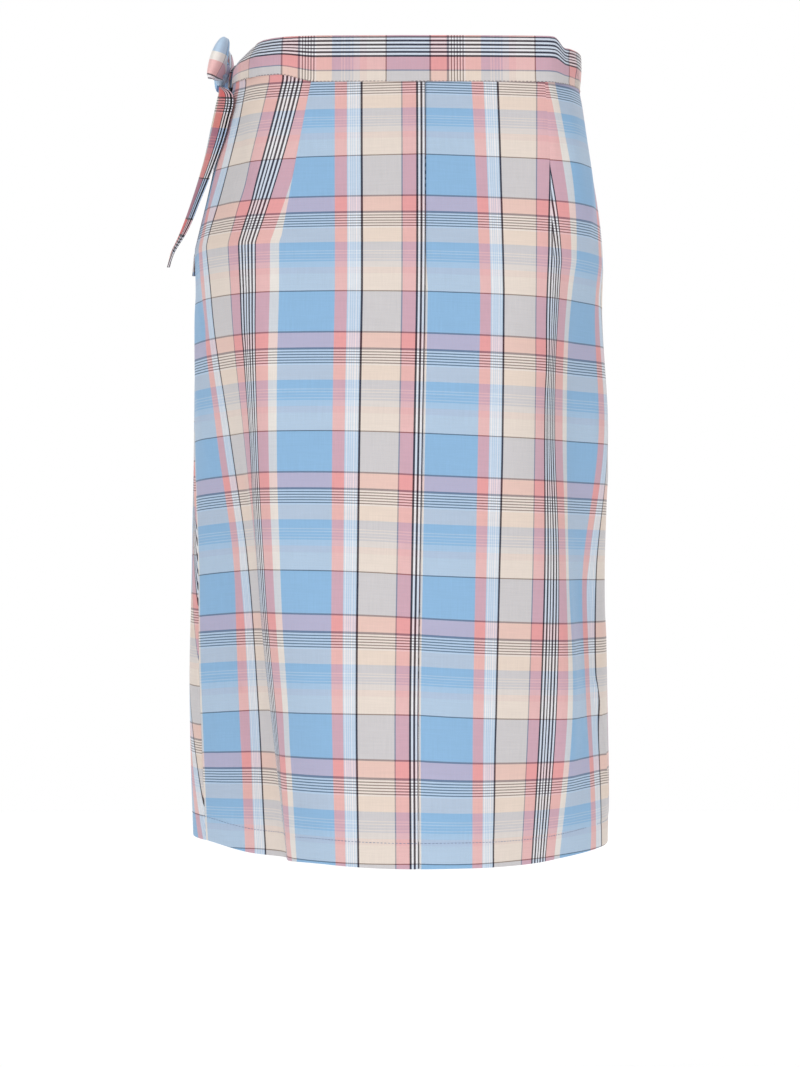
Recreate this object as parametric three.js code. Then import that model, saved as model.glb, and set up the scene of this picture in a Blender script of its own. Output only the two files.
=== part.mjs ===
// Wrap skirt in woven check cotton, in the shape it takes when it is worn.
// Millimetres. +Z is up, the wearer's front faces -Y and the wearer's left is +X. The origin is the
// centre of the waist opening, halfway up the waistband.
//
// The back is two halves sewn down the middle, each with one dart. Two fronts are sewn to them at the
// sides and wrap over each other. A waistband in three lengths holds the top, and the ends of the outer
// front are tied in a bow at the wearer's left.

import * as THREE from "three";
import { mergeVertices } from "three/addons/utils/BufferGeometryUtils.js";

// ---------------------------------------------------------------- driving sizes

const CLOTH = 1.5; // wall of a single layer of cloth
const BAND = 3; // wall of the doubled waistband
const BAND_HEIGHT = 36;
const HEM_Z = -656;
const SEAM_GAP = 0.3; // between two pieces that are sewn together
const LAYER = 3.6; // between the two fronts where one lies over the other
const BAND_PROUD = 0.75; // how far the waistband stands out past the panel under it

const HALF_BACK = 261; // cloth across half of the back, from centre seam to side seam
const TOP_SHAPED = -190; // below this height the back panels hang straight on the grain

// What the seams take out of each half back at the waistband, fading out down to TOP_SHAPED.
const CUT_IN = {
  left: { centre: 0, side: 25, stretch: 0.035 },
  right: { centre: 10, side: 25, stretch: 0.08 },
};

// One dart in each half back: the cloth from the centre seam to its near leg at the waistband and at its
// point, the cloth it takes up at the waistband, and the height of its point.
const DARTS = {
  left: { atBand: 89.6, atPoint: 113, takeUp: 37, pointZ: -152 },
  right: { atBand: 103.6, atPoint: 114.6, takeUp: 32, pointZ: -165 },
};

// ---------------------------------------------------------------- how the cloth hangs

// What the hem of each half back dips below the rest: where across it the dip starts and where it is
// deepest, as shares of the way from the centre seam.
const HEM_DIP = {
  left: { depth: 6.5, from: 0.3, at: 0.76 },
  right: { depth: 3, from: 0.05, at: 0.42 },
};

// Stations across half a back, as cloth from the centre seam.
const STATIONS = [0, 71, 114, 127, 142, 156, 177, 199, 209, 235, HALF_BACK];

// How far the cloth has turned at each station, in degrees: 0 lies along the back and 90 faces the side.
// A number that falls along a row is the far side of a fold. One row for each section.
//  height    centre quarter hip  roll crease wall tuck  open ledge side seam
const LEFT_TURNS = [
  [18,        0,     2,     6,   10,  16,   36,  66,   76,  82,   92,  98],
  [0,         0,     2,     6,   8,   10,   22,  52,   64,  72,   86,  96],
  [-80,       0,     2,     5,   6,   12,   34,  58,   60,  66,   84,  94],
  [-190,      0,     0,     4,   8,   36,   42,  54,   60,  66,   80,  90],
  [-305,      0,     0,     4,   34,  60,   66,  68,   54,  52,   56,  80],
  [-419,      0,     4,     24,  52,  64,   92,  74,   54,  48,   32,  64],
  [-533,      0,     18,    46,  58,  68,   96,  66,   44,  30,   32,  56],
  [HEM_Z,     0,     32,    48,  68,  90,   86,  50,   34,  26,   36,  54],
];
const RIGHT_TURNS = [
  [18,        0,     2,     8,   16,  42,   54,  74,   86,  92,   98,  102],
  [0,         0,     2,     8,   16,  42,   54,  74,   86,  92,   98,  102],
  [-80,       0,     2,     14,  24,  46,   66,  78,   86,  92,   98,  102],
  [-190,      0,     14,    50,  50,  62,   60,  62,   72,  82,   94,  100],
  [-305,      0,     16,    58,  54,  60,   48,  46,   62,  84,   94,  98],
  [-419,      0,     22,    36,  54,  72,   76,  68,   50,  54,   86,  96],
  [-533,      0,     28,    32,  32,  54,   76,  74,   58,  56,   82,  92],
  [HEM_Z,     0,     40,    40,  50,  48,   48,  52,   60,  64,   84,  92],
];

// The centre back seam and the middle of the front, one row for each section.
//  height    backX  backY frontX frontY  leftRound rightRound
const MIDDLES = [
  [18,        -12.5, 76,   2,     -81,    0.6,      0.6],
  [0,         -12.5, 80,   2,     -84,    0.6,      0.6],
  [-80,       -12.5, 102,  4,     -100,   0.6,      0.6],
  [-190,      -12,   123,  8,     -112,   0.6,      0.6],
  [-305,      -10,   127,  9,     -118,   0.6,      0.6],
  [-419,      -8,    127,  9,     -126,   0.65,     0.6],
  [-533,      -6.5,  126,  9,     -138,   0.75,     0.6],
  [HEM_Z,     -7,    125,  9,     -152,   0.8,      0.6],
];

// Where the bow is tied, the waistband is drawn together: what its lower edge rises and its upper edge
// falls at the left side seam, and the cloth on each side over which that fades out.
const DRAWN_IN = { rise: 7, fall: 7, riseBack: 34, riseStart: 118, fallBack: 52, front: 110 };
// A fold in the waistband at the right lets its upper edge down: how deep, between which distances from
// the centre seam, and over what distance that fades out in front of the side seam.
const RIGHT_STEP = { depth: 8, from: 106, to: 121, front: 90 };

// How far each front stops short of the other front's side seam, at the waistband and at the hem.
const FREE_EDGE = { top: 6, hem: 60 };

// ---------------------------------------------------------------- the hanging surface

const lerp = (a, b, t) => a + (b - a) * t;
const clamp01 = (t) => Math.min(1, Math.max(0, t));
const smooth = (t) => clamp01(t) ** 2 * (3 - 2 * clamp01(t));

// The row of a table at a height, by a smooth curve through the rows.
function rowAt(table, z) {
  const last = table.length - 1;
  const height = Math.min(table[0][0], Math.max(table[last][0], z));
  let i = 0;
  while (i < last - 1 && height < table[i + 1][0]) i += 1;
  const step = table[i + 1][0] - table[i][0];
  const t = (height - table[i][0]) / step;
  const slope = (j, column) => {
    const a = Math.max(0, j - 1);
    const b = Math.min(last, j + 1);
    return ((table[b][column] - table[a][column]) / (table[b][0] - table[a][0])) * step;
  };
  return table[0].slice(1).map((_, k) => {
    const c = k + 1;
    return (
      (2 * t ** 3 - 3 * t ** 2 + 1) * table[i][c] +
      (t ** 3 - 2 * t ** 2 + t) * slope(i, c) +
      (3 * t ** 2 - 2 * t ** 3) * table[i + 1][c] +
      (t ** 3 - t ** 2) * slope(i + 1, c)
    );
  });
}

function turnAt(turns, cloth) {
  let i = 0;
  while (i < STATIONS.length - 2 && cloth > STATIONS[i + 1]) i += 1;
  const t = (cloth - STATIONS[i]) / (STATIONS[i + 1] - STATIONS[i]);
  return (lerp(turns[i], turns[i + 1], t) * Math.PI) / 180;
}

// What the cut of one half back leaves at a height: where its cloth starts and ends, and its dart.
function cutAt(side, z) {
  const shaping = clamp01((z - TOP_SHAPED) / (-BAND_HEIGHT / 2 - TOP_SHAPED));
  const dart = DARTS[side];
  const open = clamp01((z - dart.pointZ) / (-BAND_HEIGHT / 2 - dart.pointZ));
  const near = lerp(dart.atPoint, dart.atBand, open);
  return {
    start: CUT_IN[side].centre * shaping,
    end: HALF_BACK - CUT_IN[side].side * shaping ** 2,
    near,
    far: near + dart.takeUp * open,
    stretch: 1 + CUT_IN[side].stretch * shaping,
  };
}

const WALK_STEPS = 262; // along half a back, about a millimetre each
const FRONT_STEPS = 120; // along half a front
const FRONT_FLAT = 0.55; // how far the middle of the front stays flat, as a share of half its width

// Half a back at a height, walked from the centre seam in steps along the cloth.
function halfBack(side, z) {
  const sign = side === "left" ? 1 : -1;
  const turns = rowAt(side === "left" ? LEFT_TURNS : RIGHT_TURNS, z);
  const cut = cutAt(side, z);
  const [backX, backY] = rowAt(MIDDLES, z);
  const width = cut.near - cut.start + (cut.end - cut.far);
  const points = [];
  let x = backX;
  let y = backY;
  for (let i = 0; i <= WALK_STEPS; i += 1) {
    const along = (width * i) / WALK_STEPS;
    const beyondDart = along > cut.near - cut.start;
    const turn = turnAt(turns, cut.start + along + (beyondDart ? cut.far - cut.near : 0));
    if (i > 0) {
      const walked = (width / WALK_STEPS) * cut.stretch;
      x += sign * Math.cos(turn) * walked;
      y -= Math.sin(turn) * walked;
    }
    points.push({ x, y, outX: sign * Math.sin(turn), outY: Math.cos(turn) });
  }
  return points;
}

// Half a front at a height: one smooth curve from the side seam to the middle of the front.
function halfFront(side, z) {
  const sign = side === "left" ? 1 : -1;
  const [, , frontX, frontY, leftRound, rightRound] = rowAt(MIDDLES, z);
  const seam = halfBack(side, z).at(-1);
  const reach = (side === "left" ? leftRound : rightRound) * Math.abs(frontY - seam.y);
  const curve = new THREE.CubicBezierCurve(
    new THREE.Vector2(seam.x, seam.y),
    new THREE.Vector2(seam.x + sign * seam.outY * reach, seam.y - sign * seam.outX * reach),
    new THREE.Vector2(frontX + sign * FRONT_FLAT * Math.abs(frontX - seam.x), frontY),
    new THREE.Vector2(frontX, frontY),
  );
  return Array.from({ length: FRONT_STEPS + 1 }, (_, i) => {
    const t = curve.getUtoTmapping(i / FRONT_STEPS);
    const point = curve.getPoint(t);
    const tangent = curve.getTangent(t);
    return { x: point.x, y: point.y, outX: -sign * tangent.y, outY: sign * tangent.x };
  });
}

const frontRing = new Map();
// The whole front at a height, from the left side seam round to the right one.
function wholeFront(z) {
  if (!frontRing.has(z)) {
    const left = halfFront("left", z);
    const right = halfFront("right", z).reverse();
    frontRing.set(z, [...left, ...right.slice(1)]);
  }
  return frontRing.get(z);
}

const backRing = new Map();
function wholeHalfBack(side, z) {
  const key = `${side} ${z}`;
  if (!backRing.has(key)) backRing.set(key, halfBack(side, z));
  return backRing.get(key);
}

// A point of a walked section at a distance along it, and that section's length.
function lengths(points) {
  const total = [0];
  for (let i = 1; i < points.length; i += 1) {
    total.push(total[i - 1] + Math.hypot(points[i].x - points[i - 1].x, points[i].y - points[i - 1].y));
  }
  return total;
}

function pointAlong(points, total, distance) {
  let i = 1;
  while (i < points.length - 1 && total[i] < distance) i += 1;
  const t = (distance - total[i - 1]) / (total[i] - total[i - 1]);
  const a = points[i - 1];
  const b = points[i];
  const out = new THREE.Vector2(lerp(a.outX, b.outX, t), lerp(a.outY, b.outY, t)).normalize();
  return { x: lerp(a.x, b.x, t), y: lerp(a.y, b.y, t), outX: out.x, outY: out.y };
}

// A point of the skirt's surface near the left side seam, at a distance behind it, or before it if negative.
function besideLeftSeam(z, behind) {
  if (behind < 0) {
    const front = wholeFront(z);
    return pointAlong(front, lengths(front), -behind);
  }
  const back = wholeHalfBack("left", z);
  const total = lengths(back);
  return pointAlong(back, total, total.at(-1) - behind);
}

// ---------------------------------------------------------------- the waistband's two edges

// Each takes the distance from the left side seam, positive toward the back and negative toward the front.
function seamRise(fromSeam) {
  if (fromSeam < 0) return DRAWN_IN.rise * (1 - smooth(-fromSeam / DRAWN_IN.front));
  return DRAWN_IN.rise * (1 - smooth((fromSeam - DRAWN_IN.riseStart + DRAWN_IN.riseBack) / DRAWN_IN.riseBack));
}

function topFall(fromSeam) {
  if (fromSeam < 0) return DRAWN_IN.fall * (1 - smooth(-fromSeam / DRAWN_IN.front));
  return DRAWN_IN.fall * (1 - smooth(fromSeam / DRAWN_IN.fallBack));
}

// ---------------------------------------------------------------- closed walls from grids of points

// A closed wall: outer and inner are grids of the same size, with the wall's four edges added.
function wallSolid(outer, inner) {
  const rows = outer.length;
  const columns = outer[0].length;
  const positions = [...outer.flat(), ...inner.flat()].flatMap((p) => [p.x, p.y, p.z]);
  const at = (layer, r, c) => layer * rows * columns + r * columns + c;
  const faces = [];
  const quad = (a, b, c, d) => faces.push(a, b, c, a, c, d);
  for (let r = 0; r < rows - 1; r += 1) {
    for (let c = 0; c < columns - 1; c += 1) {
      quad(at(0, r, c), at(0, r, c + 1), at(0, r + 1, c + 1), at(0, r + 1, c));
      quad(at(1, r, c), at(1, r + 1, c), at(1, r + 1, c + 1), at(1, r, c + 1));
    }
  }
  for (let c = 0; c < columns - 1; c += 1) {
    quad(at(0, 0, c), at(1, 0, c), at(1, 0, c + 1), at(0, 0, c + 1));
    quad(at(0, rows - 1, c), at(0, rows - 1, c + 1), at(1, rows - 1, c + 1), at(1, rows - 1, c));
  }
  for (let r = 0; r < rows - 1; r += 1) {
    quad(at(0, r, 0), at(0, r + 1, 0), at(1, r + 1, 0), at(1, r, 0));
    quad(at(0, r, columns - 1), at(1, r, columns - 1), at(1, r + 1, columns - 1), at(0, r + 1, columns - 1));
  }
  return facingOut(positions, faces);
}

// Turns every face round if the body came out inside out.
function facingOut(positions, faces) {
  const point = (i) => new THREE.Vector3().fromArray(positions, 3 * i);
  let volume = 0;
  for (let i = 0; i < faces.length; i += 3) {
    volume += point(faces[i]).dot(point(faces[i + 1]).cross(point(faces[i + 2])));
  }
  if (volume < 0) faces.reverse();
  const geometry = new THREE.BufferGeometry();
  geometry.setAttribute("position", new THREE.Float32BufferAttribute(positions, 3));
  geometry.setIndex(faces);
  geometry.computeVertexNormals();
  return geometry;
}

const offset = (p, out, z) => new THREE.Vector3(p.x + p.outX * out, p.y + p.outY * out, z);
const spread = (from, to, count) => Array.from({ length: count }, (_, i) => lerp(from, to, i / (count - 1)));

// ---------------------------------------------------------------- panels and waistband

// Columns across half a back as shares of its width, closer together where the folds are.
const BACK_COLUMNS = [
  0, 0.1, 0.19, 0.27, 0.33, 0.38, 0.42, 0.455, 0.485, 0.515, 0.545, 0.575, 0.605, 0.64, 0.68, 0.72, 0.76,
  0.8, 0.845, 0.89, 0.945, 1,
];
const PANEL_ROWS = 25; // the same on every panel, so that sewn edges match
const FRONT_COLUMNS = 25;
const BAND_ROWS = 3;

// What the hem dips at a place across half a back: nothing at its two seams.
function hemDip(side, across) {
  const { depth, from, at } = HEM_DIP[side];
  return depth * smooth((across - from) / (at - from)) * smooth((1 - across) / (1 - at));
}

// The top edge of a panel follows the waistband's lower edge, and its rows lie at even shares of the drop
// from there to the hem.
function backPanel(side) {
  const edge = SEAM_GAP / 2;
  const topWidth = lengths(wholeHalfBack(side, -BAND_HEIGHT / 2)).at(-1);
  const outer = [];
  const inner = [];
  for (const share of spread(0, 1, PANEL_ROWS)) {
    const rowOut = [];
    const rowIn = [];
    for (const across of BACK_COLUMNS) {
      const rise = side === "left" ? seamRise(topWidth * (1 - across)) : 0;
      const z = lerp(-BAND_HEIGHT / 2 - edge + rise, HEM_Z - hemDip(side, across), share);
      const section = wholeHalfBack(side, z);
      const total = lengths(section);
      const distance = lerp(edge, total.at(-1) - edge, across);
      const p = pointAlong(section, total, distance);
      rowOut.push(offset(p, 0, z));
      rowIn.push(offset(p, -CLOTH, z));
    }
    outer.push(rowOut);
    inner.push(rowIn);
  }
  return wallSolid(outer, inner);
}

// How far a layer of the front lies out of the surface, at a share of the way from the left seam.
const LAYERS = {
  over: (share) => LAYER * (1 - share),
  under: (share) => -LAYER * share,
};

// Where a layer of the front starts and stops, from the left side seam, at a share of the drop.
function frontSpan(layer, length, share) {
  const edge = SEAM_GAP / 2;
  const short = lerp(FREE_EDGE.top, FREE_EDGE.hem, share);
  return layer === "over" ? [short, length - edge] : [edge, length - short];
}

function frontPanel(layer) {
  const outer = [];
  const inner = [];
  const [topStart, topEnd] = frontSpan(layer, lengths(wholeFront(-BAND_HEIGHT / 2)).at(-1), 0);
  for (const share of spread(0, 1, PANEL_ROWS)) {
    const rowOut = [];
    const rowIn = [];
    for (const across of spread(0, 1, FRONT_COLUMNS)) {
      const top = -BAND_HEIGHT / 2 - SEAM_GAP / 2 + seamRise(-lerp(topStart, topEnd, across));
      const z = lerp(top, HEM_Z, share);
      const section = wholeFront(z);
      const total = lengths(section);
      const [start, end] = frontSpan(layer, total.at(-1), share);
      const distance = lerp(start, end, across);
      const p = pointAlong(section, total, distance);
      const out = LAYERS[layer](distance / total.at(-1));
      rowOut.push(offset(p, out, z));
      rowIn.push(offset(p, out - CLOTH, z));
    }
    outer.push(rowOut);
    inner.push(rowIn);
  }
  return wallSolid(outer, inner);
}

// A length of waistband on the skirt's surface between two distances from the left side seam. placeAt
// gives the surface at a height and a distance, with the distance behind that seam (negative before it),
// how far the band stands out there, and what its upper edge is let down.
function bandWall({ from, to, columns, placeAt }) {
  const outer = [];
  const inner = [];
  for (const up of spread(0, 1, BAND_ROWS)) {
    const rowOut = [];
    const rowIn = [];
    for (const distance of spread(from, to, columns)) {
      const { fromSeam, lift, letDown, surface } = placeAt(distance);
      const low = -BAND_HEIGHT / 2 + SEAM_GAP / 2 + seamRise(fromSeam);
      const high = BAND_HEIGHT / 2 - topFall(fromSeam) - letDown;
      const z = lerp(low, high, up);
      const p = surface(z);
      rowOut.push(offset(p, BAND_PROUD + lift, z));
      rowIn.push(offset(p, BAND_PROUD + lift - BAND, z));
    }
    outer.push(rowOut);
    inner.push(rowIn);
  }
  return wallSolid(outer, inner);
}

const BACK_BAND_COLUMNS = 49;
const FRONT_BAND_COLUMNS = 61;
const WAIST = {
  left: lengths(wholeHalfBack("left", 0)).at(-1),
  right: lengths(wholeHalfBack("right", 0)).at(-1),
  front: lengths(wholeFront(0)).at(-1),
};

// A point of a section of the surface at a share of the way along it.
function sectionAt(section, share) {
  const total = lengths(section);
  return pointAlong(section, total, share * total.at(-1));
}

// The back's waistband runs from side seam to side seam in one length.
function bandBack() {
  return bandWall({
    from: SEAM_GAP / 2,
    to: WAIST.left + WAIST.right - SEAM_GAP / 2,
    columns: BACK_BAND_COLUMNS,
    placeAt: (distance) => {
      const pastCentre = distance - WAIST.left;
      return {
        fromSeam: distance,
        lift: 0,
        letDown: RIGHT_STEP.depth * smooth((pastCentre - RIGHT_STEP.from) / (RIGHT_STEP.to - RIGHT_STEP.from)),
        surface: (z) =>
          pastCentre < 0
            ? sectionAt(wholeHalfBack("left", z), -pastCentre / WAIST.left)
            : sectionAt(wholeHalfBack("right", z), pastCentre / WAIST.right),
      };
    },
  });
}

function bandFront(layer) {
  const [from, to] = frontSpan(layer, WAIST.front, 0);
  return bandWall({
    from,
    to,
    columns: FRONT_BAND_COLUMNS,
    placeAt: (distance) => ({
      fromSeam: -distance,
      lift: LAYERS[layer](distance / WAIST.front),
      letDown: RIGHT_STEP.depth * (1 - smooth((WAIST.front - distance) / RIGHT_STEP.front)),
      surface: (z) => sectionAt(wholeFront(z), distance / WAIST.front),
    }),
  });
}

// ---------------------------------------------------------------- the bow

// The knot stands on the end of the outer waistband. Its own frame: out from the waistband, along it
// toward the wearer's back, and up; the frame is tilted because the waistband leans in toward its top.
// out, along and up are half sizes, fromEdge is how far the knot is from the free edge, and stand is the
// space it needs where the waistband flares below it.
const KNOT = { out: 6, along: 8.5, up: 11, fromEdge: 3, tilt: 0.28, stand: 0.4 };
const KNOT_GRID = { around: 16, rings: 10 };
const TIE_WALL = 2.4;
const TIE_HALF_WIDTH = 18;
const LOOP_GATHERED = 7; // half width of the strip where the knot gathers it

const knotFrame = (() => {
  const p = besideLeftSeam(0, -(FREE_EDGE.top + KNOT.fromEdge));
  const clear = BAND_PROUD + LAYER + SEAM_GAP + KNOT.out + KNOT.stand;
  return {
    origin: offset(p, clear, 0),
    out: new THREE.Vector3(p.outX, p.outY, KNOT.tilt).normalize(),
    along: new THREE.Vector3(-p.outY, p.outX, 0),
    up: new THREE.Vector3(-KNOT.tilt * p.outX, -KNOT.tilt * p.outY, 1).normalize(),
  };
})();

function inBow(out, along, up) {
  return knotFrame.origin
    .clone()
    .addScaledVector(knotFrame.out, out)
    .addScaledVector(knotFrame.along, along)
    .addScaledVector(knotFrame.up, up);
}

function knot() {
  const ball = mergeVertices(new THREE.SphereGeometry(1, KNOT_GRID.around, KNOT_GRID.rings).deleteAttribute("normal").deleteAttribute("uv"));
  const place = ball.getAttribute("position");
  for (let i = 0; i < place.count; i += 1) {
    const p = inBow(place.getX(i) * KNOT.out, place.getY(i) * KNOT.along, place.getZ(i) * KNOT.up);
    place.setXYZ(i, p.x, p.y, p.z);
  }
  return facingOut([...place.array], [...ball.index.array]);
}

// A loop is one strip that leaves the knot, turns round and comes back, gathered at both ends.
//   toBack: 1 toward the wearer's back, -1 toward the front; reach: how far it stands from the knot;
//   bulge: half its opening; rise, shift: how far its turn lies above and outside the knot;
//   lean: how far its upper edge leans in over its lower one
const LOOPS = {
  bow_loop_back: { toBack: 1, reach: 27, bulge: 3.9, rise: 9, shift: 4.4, lean: -1.6 },
  bow_loop_front: { toBack: -1, reach: 38, bulge: 5.6, rise: 4, shift: 5, lean: 3 },
};
const LOOP_START = 0.07; // share of the way round at which the strip leaves the knot
const LOOP_OPENS = 0.2; // share of the way round over which it spreads to its full width
const LOOP_GRID = { along: 19, across: 4 };
const TANGENT_STEP = 0.005;

function bowLoop({ toBack, reach, bulge, rise, shift, lean }) {
  const midLine = (t) => ({
    away: KNOT.along + SEAM_GAP + (reach * (Math.cos(2 * Math.PI * LOOP_START) - Math.cos(2 * Math.PI * t))) / 2,
    out: bulge * Math.sin(2 * Math.PI * t),
  });
  const outer = [];
  const inner = [];
  for (const t of spread(LOOP_START, 1 - LOOP_START, LOOP_GRID.along)) {
    const p = midLine(t);
    const before = midLine(t - TANGENT_STEP);
    const after = midLine(t + TANGENT_STEP);
    const run = new THREE.Vector2(after.out - before.out, after.away - before.away).normalize();
    const opened = smooth(Math.min(t - LOOP_START, 1 - LOOP_START - t) / LOOP_OPENS);
    const half = lerp(LOOP_GATHERED, TIE_HALF_WIDTH, opened);
    const rowOut = [];
    const rowIn = [];
    for (const v of spread(-1, 1, LOOP_GRID.across)) {
      const up = rise * opened + v * half;
      const aside = shift * opened + lean * v * opened;
      const at = (wall) => inBow(p.out + aside + run.y * wall, toBack * (p.away - run.x * wall), up);
      rowOut.push(at(TIE_WALL / 2));
      rowIn.push(at(-TIE_WALL / 2));
    }
    outer.push(rowOut);
    inner.push(rowIn);
  }
  return wallSolid(outer, inner);
}

// A tail hangs from under the knot against the side of the skirt, one row for each height: where its two
// edges lie behind the side seam (before it if negative), how far it stands out of the skirt's surface,
// how deep the fold along its middle is, and how much further out its front edge lies than its back one.
// Its end is cut to a point.
const TAILS = {
  //              height front  back  clear fold turn
  bow_tail_back: [
    [-11.4,       -9.1,  -3,    10.8, 0,   0],
    [-24,         4,     34,    7.8,  1,   6],
    [-48,         8,     42,    7,    1.2, 7],
    [-78,         4,     40,    7.4,  1.2, 7],
    [-111,        2,     36,    10,   1.2, 6],
    [-141,        2,     30,    14.5, 1,   5],
    [-165,        -2,    0.5,   23.4, 0,   0],
  ],
  bow_tail_front: [
    [-11.4,       -15.4, -9.5,  10.8, 0,   0],
    [-24,         -25,   -12,   9.4,  1.5, 1],
    [-48,         -40,   -15,   8.4,  3,   2],
    [-84,         -53,   -19,   8,    3,   3],
    [-124,        -61,   -27,   8,    3,   1],
    [-152,        -52,   -31,   10,   2,   -2],
    [-170,        -36,   -33.5, 12,   0,   -1],
  ],
};
const TAIL_GRID = { along: 17, across: 5 };

function bowTail(rows) {
  const outer = [];
  const inner = [];
  for (const height of spread(rows[0][0], rows.at(-1)[0], TAIL_GRID.along)) {
    const [front, back, clear, fold, turn] = rowAt(rows, height);
    const rowOut = [];
    const rowIn = [];
    for (const share of spread(0, 1, TAIL_GRID.across)) {
      const p = besideLeftSeam(height, lerp(front, back, share));
      const out = clear + fold * (0.5 - Math.abs(2 * share - 1)) + turn * (0.5 - share);
      rowOut.push(offset(p, out + TIE_WALL / 2, height));
      rowIn.push(offset(p, out - TIE_WALL / 2, height));
    }
    outer.push(rowOut);
    inner.push(rowIn);
  }
  return wallSolid(outer, inner);
}

// ---------------------------------------------------------------- the whole skirt

const finish = (color) => new THREE.MeshStandardMaterial({ color, roughness: 0.9, metalness: 0, side: THREE.DoubleSide });
const PANEL_BLUE = finish("#a9c3e0");
const PANEL_CREAM = finish("#e6d5cb");
const BAND_PINK = finish("#dfa6a8");
const TIE_BLUE = finish("#9fb9de");

const skirt = new THREE.Group();
skirt.name = "wrap_skirt";

function add(name, geometry, material) {
  const mesh = new THREE.Mesh(geometry, material);
  mesh.name = name;
  skirt.add(mesh);
}

add("back_left", backPanel("left"), PANEL_BLUE);
add("back_right", backPanel("right"), PANEL_BLUE);
add("front_under", frontPanel("under"), PANEL_CREAM);
add("front_over", frontPanel("over"), PANEL_CREAM);
add("waistband_back", bandBack(), BAND_PINK);
add("waistband_under", bandFront("under"), BAND_PINK);
add("waistband_over", bandFront("over"), BAND_PINK);
add("bow_knot", knot(), TIE_BLUE);
Object.entries(LOOPS).forEach(([name, loop]) => add(name, bowLoop(loop), TIE_BLUE));
Object.entries(TAILS).forEach(([name, rows]) => add(name, bowTail(rows), TIE_BLUE));

export default skirt;
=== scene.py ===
# %% [markdown]
# # A wrap skirt in woven check cotton
# This lesson dresses a CAD model of a wrap skirt. The CAD model holds the true shape of every cut piece
# as a plain wall. Here each wall is replaced by a thin cloth shell on the same form, with seams, a turned
# hem, stitches and creases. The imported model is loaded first, and everything else rides on it.

# %% Load the frame
import math

import bpy
import numpy as np
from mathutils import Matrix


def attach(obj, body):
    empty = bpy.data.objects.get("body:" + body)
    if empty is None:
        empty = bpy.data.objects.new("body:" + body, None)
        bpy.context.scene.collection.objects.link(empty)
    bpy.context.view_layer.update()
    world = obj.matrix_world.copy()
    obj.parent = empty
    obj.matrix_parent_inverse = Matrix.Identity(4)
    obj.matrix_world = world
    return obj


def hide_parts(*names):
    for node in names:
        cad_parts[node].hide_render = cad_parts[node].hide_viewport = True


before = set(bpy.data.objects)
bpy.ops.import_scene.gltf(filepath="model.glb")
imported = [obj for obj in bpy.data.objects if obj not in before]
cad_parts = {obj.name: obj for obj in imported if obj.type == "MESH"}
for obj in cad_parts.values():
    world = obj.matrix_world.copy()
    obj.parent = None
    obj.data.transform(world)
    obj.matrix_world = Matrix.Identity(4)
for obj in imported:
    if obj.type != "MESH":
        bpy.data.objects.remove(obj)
bpy.ops.object.select_all(action="DESELECT")
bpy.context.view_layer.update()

MM = 0.001  # the tables below are in millimetres, and Blender works in metres

# %% [markdown]
# ## Camera
# The skirt is seen from straight behind the wearer, a little above its middle, from about two metres.
# A long lens keeps the sides of the skirt nearly parallel, as in a catalogue picture. The sensor is
# fitted to the height, because the picture is taller than it is wide.

# %% Camera
CAMERA_PLACE = (0.0082, 2.2, -0.319)
CAMERA_DOWN = 1.84  # degrees below the level
SENSOR = 36.0
LENS = 87.5

camera_data = bpy.data.cameras.new("camera")
camera_data.sensor_fit = "VERTICAL"
camera_data.sensor_height = SENSOR
camera_data.lens = LENS
camera = bpy.data.objects.new("camera", camera_data)
camera.location = CAMERA_PLACE
camera.rotation_euler = (math.radians(90 - CAMERA_DOWN), 0, math.radians(180))
bpy.context.scene.collection.objects.link(camera)
bpy.context.scene.camera = camera
print("camera at", CAMERA_PLACE)

# %% [markdown]
# ## The skirt's driving sizes
# The cloth shells follow the same form as the CAD walls, so they start from the same few sizes: how deep
# the waistband is, how long the skirt hangs, how wide each half of the back is cut, and what its dart
# takes up. The sizes are those of the cut, not of finished points.

# %% Sizes of the cut
BAND_HEIGHT = 36
HEM_Z = -656
HALF_BACK = 261  # cloth from the centre back seam to a side seam
TOP_SHAPED = -190  # below this height the back hangs straight on the grain
SEAM_GAP = 0.3
LAYER = 3.6  # between the two fronts where one lies over the other
BAND_PROUD = 0.75
BAND_THICK = 3.0

# What the seams take out at the waistband: at the centre, at the side, and how far the top is stretched.
CUT_IN = {
    "left": {"centre": 0, "side": 25, "stretch": 0.035},
    "right": {"centre": 10, "side": 25, "stretch": 0.08},
}
# One dart in each half back: its near leg at the waistband and at its point, what it takes up, its point.
DARTS = {
    "left": {"at_band": 89.6, "at_point": 113, "take_up": 37, "point_z": -152},
    "right": {"at_band": 103.6, "at_point": 114.6, "take_up": 32, "point_z": -165},
}
# What the bow draws in: rise of the lower edge and fall of the upper one, and where each fades out.
DRAWN_IN = {"rise": 7, "fall": 7, "rise_back": 34, "rise_start": 118, "fall_back": 52, "front": 110}
RIGHT_STEP = {"depth": 8, "from": 106, "to": 121, "front": 90}  # a fold that lets the upper edge down
# What the hem dips, and where across each half back the dip starts and is deepest.
HEM_DIP = {
    "left": {"depth": 6.5, "from": 0.3, "at": 0.76},
    "right": {"depth": 3, "from": 0.05, "at": 0.42},
}
FREE_EDGE = {"top": 6, "hem": 60}  # how far a front stops short of the other front's side seam
print("waistband", BAND_HEIGHT, "mm deep, hem", HEM_Z, "mm below its middle")

# %% [markdown]
# ## How the cloth hangs
# A skirt's section at one height is a walk along the cloth. At each station, a distance along the cloth
# from the centre seam, the table says which way the cloth has turned: 0 degrees lies along the back and
# 90 faces the side. A number that falls along a row is the far side of a fold.

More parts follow.
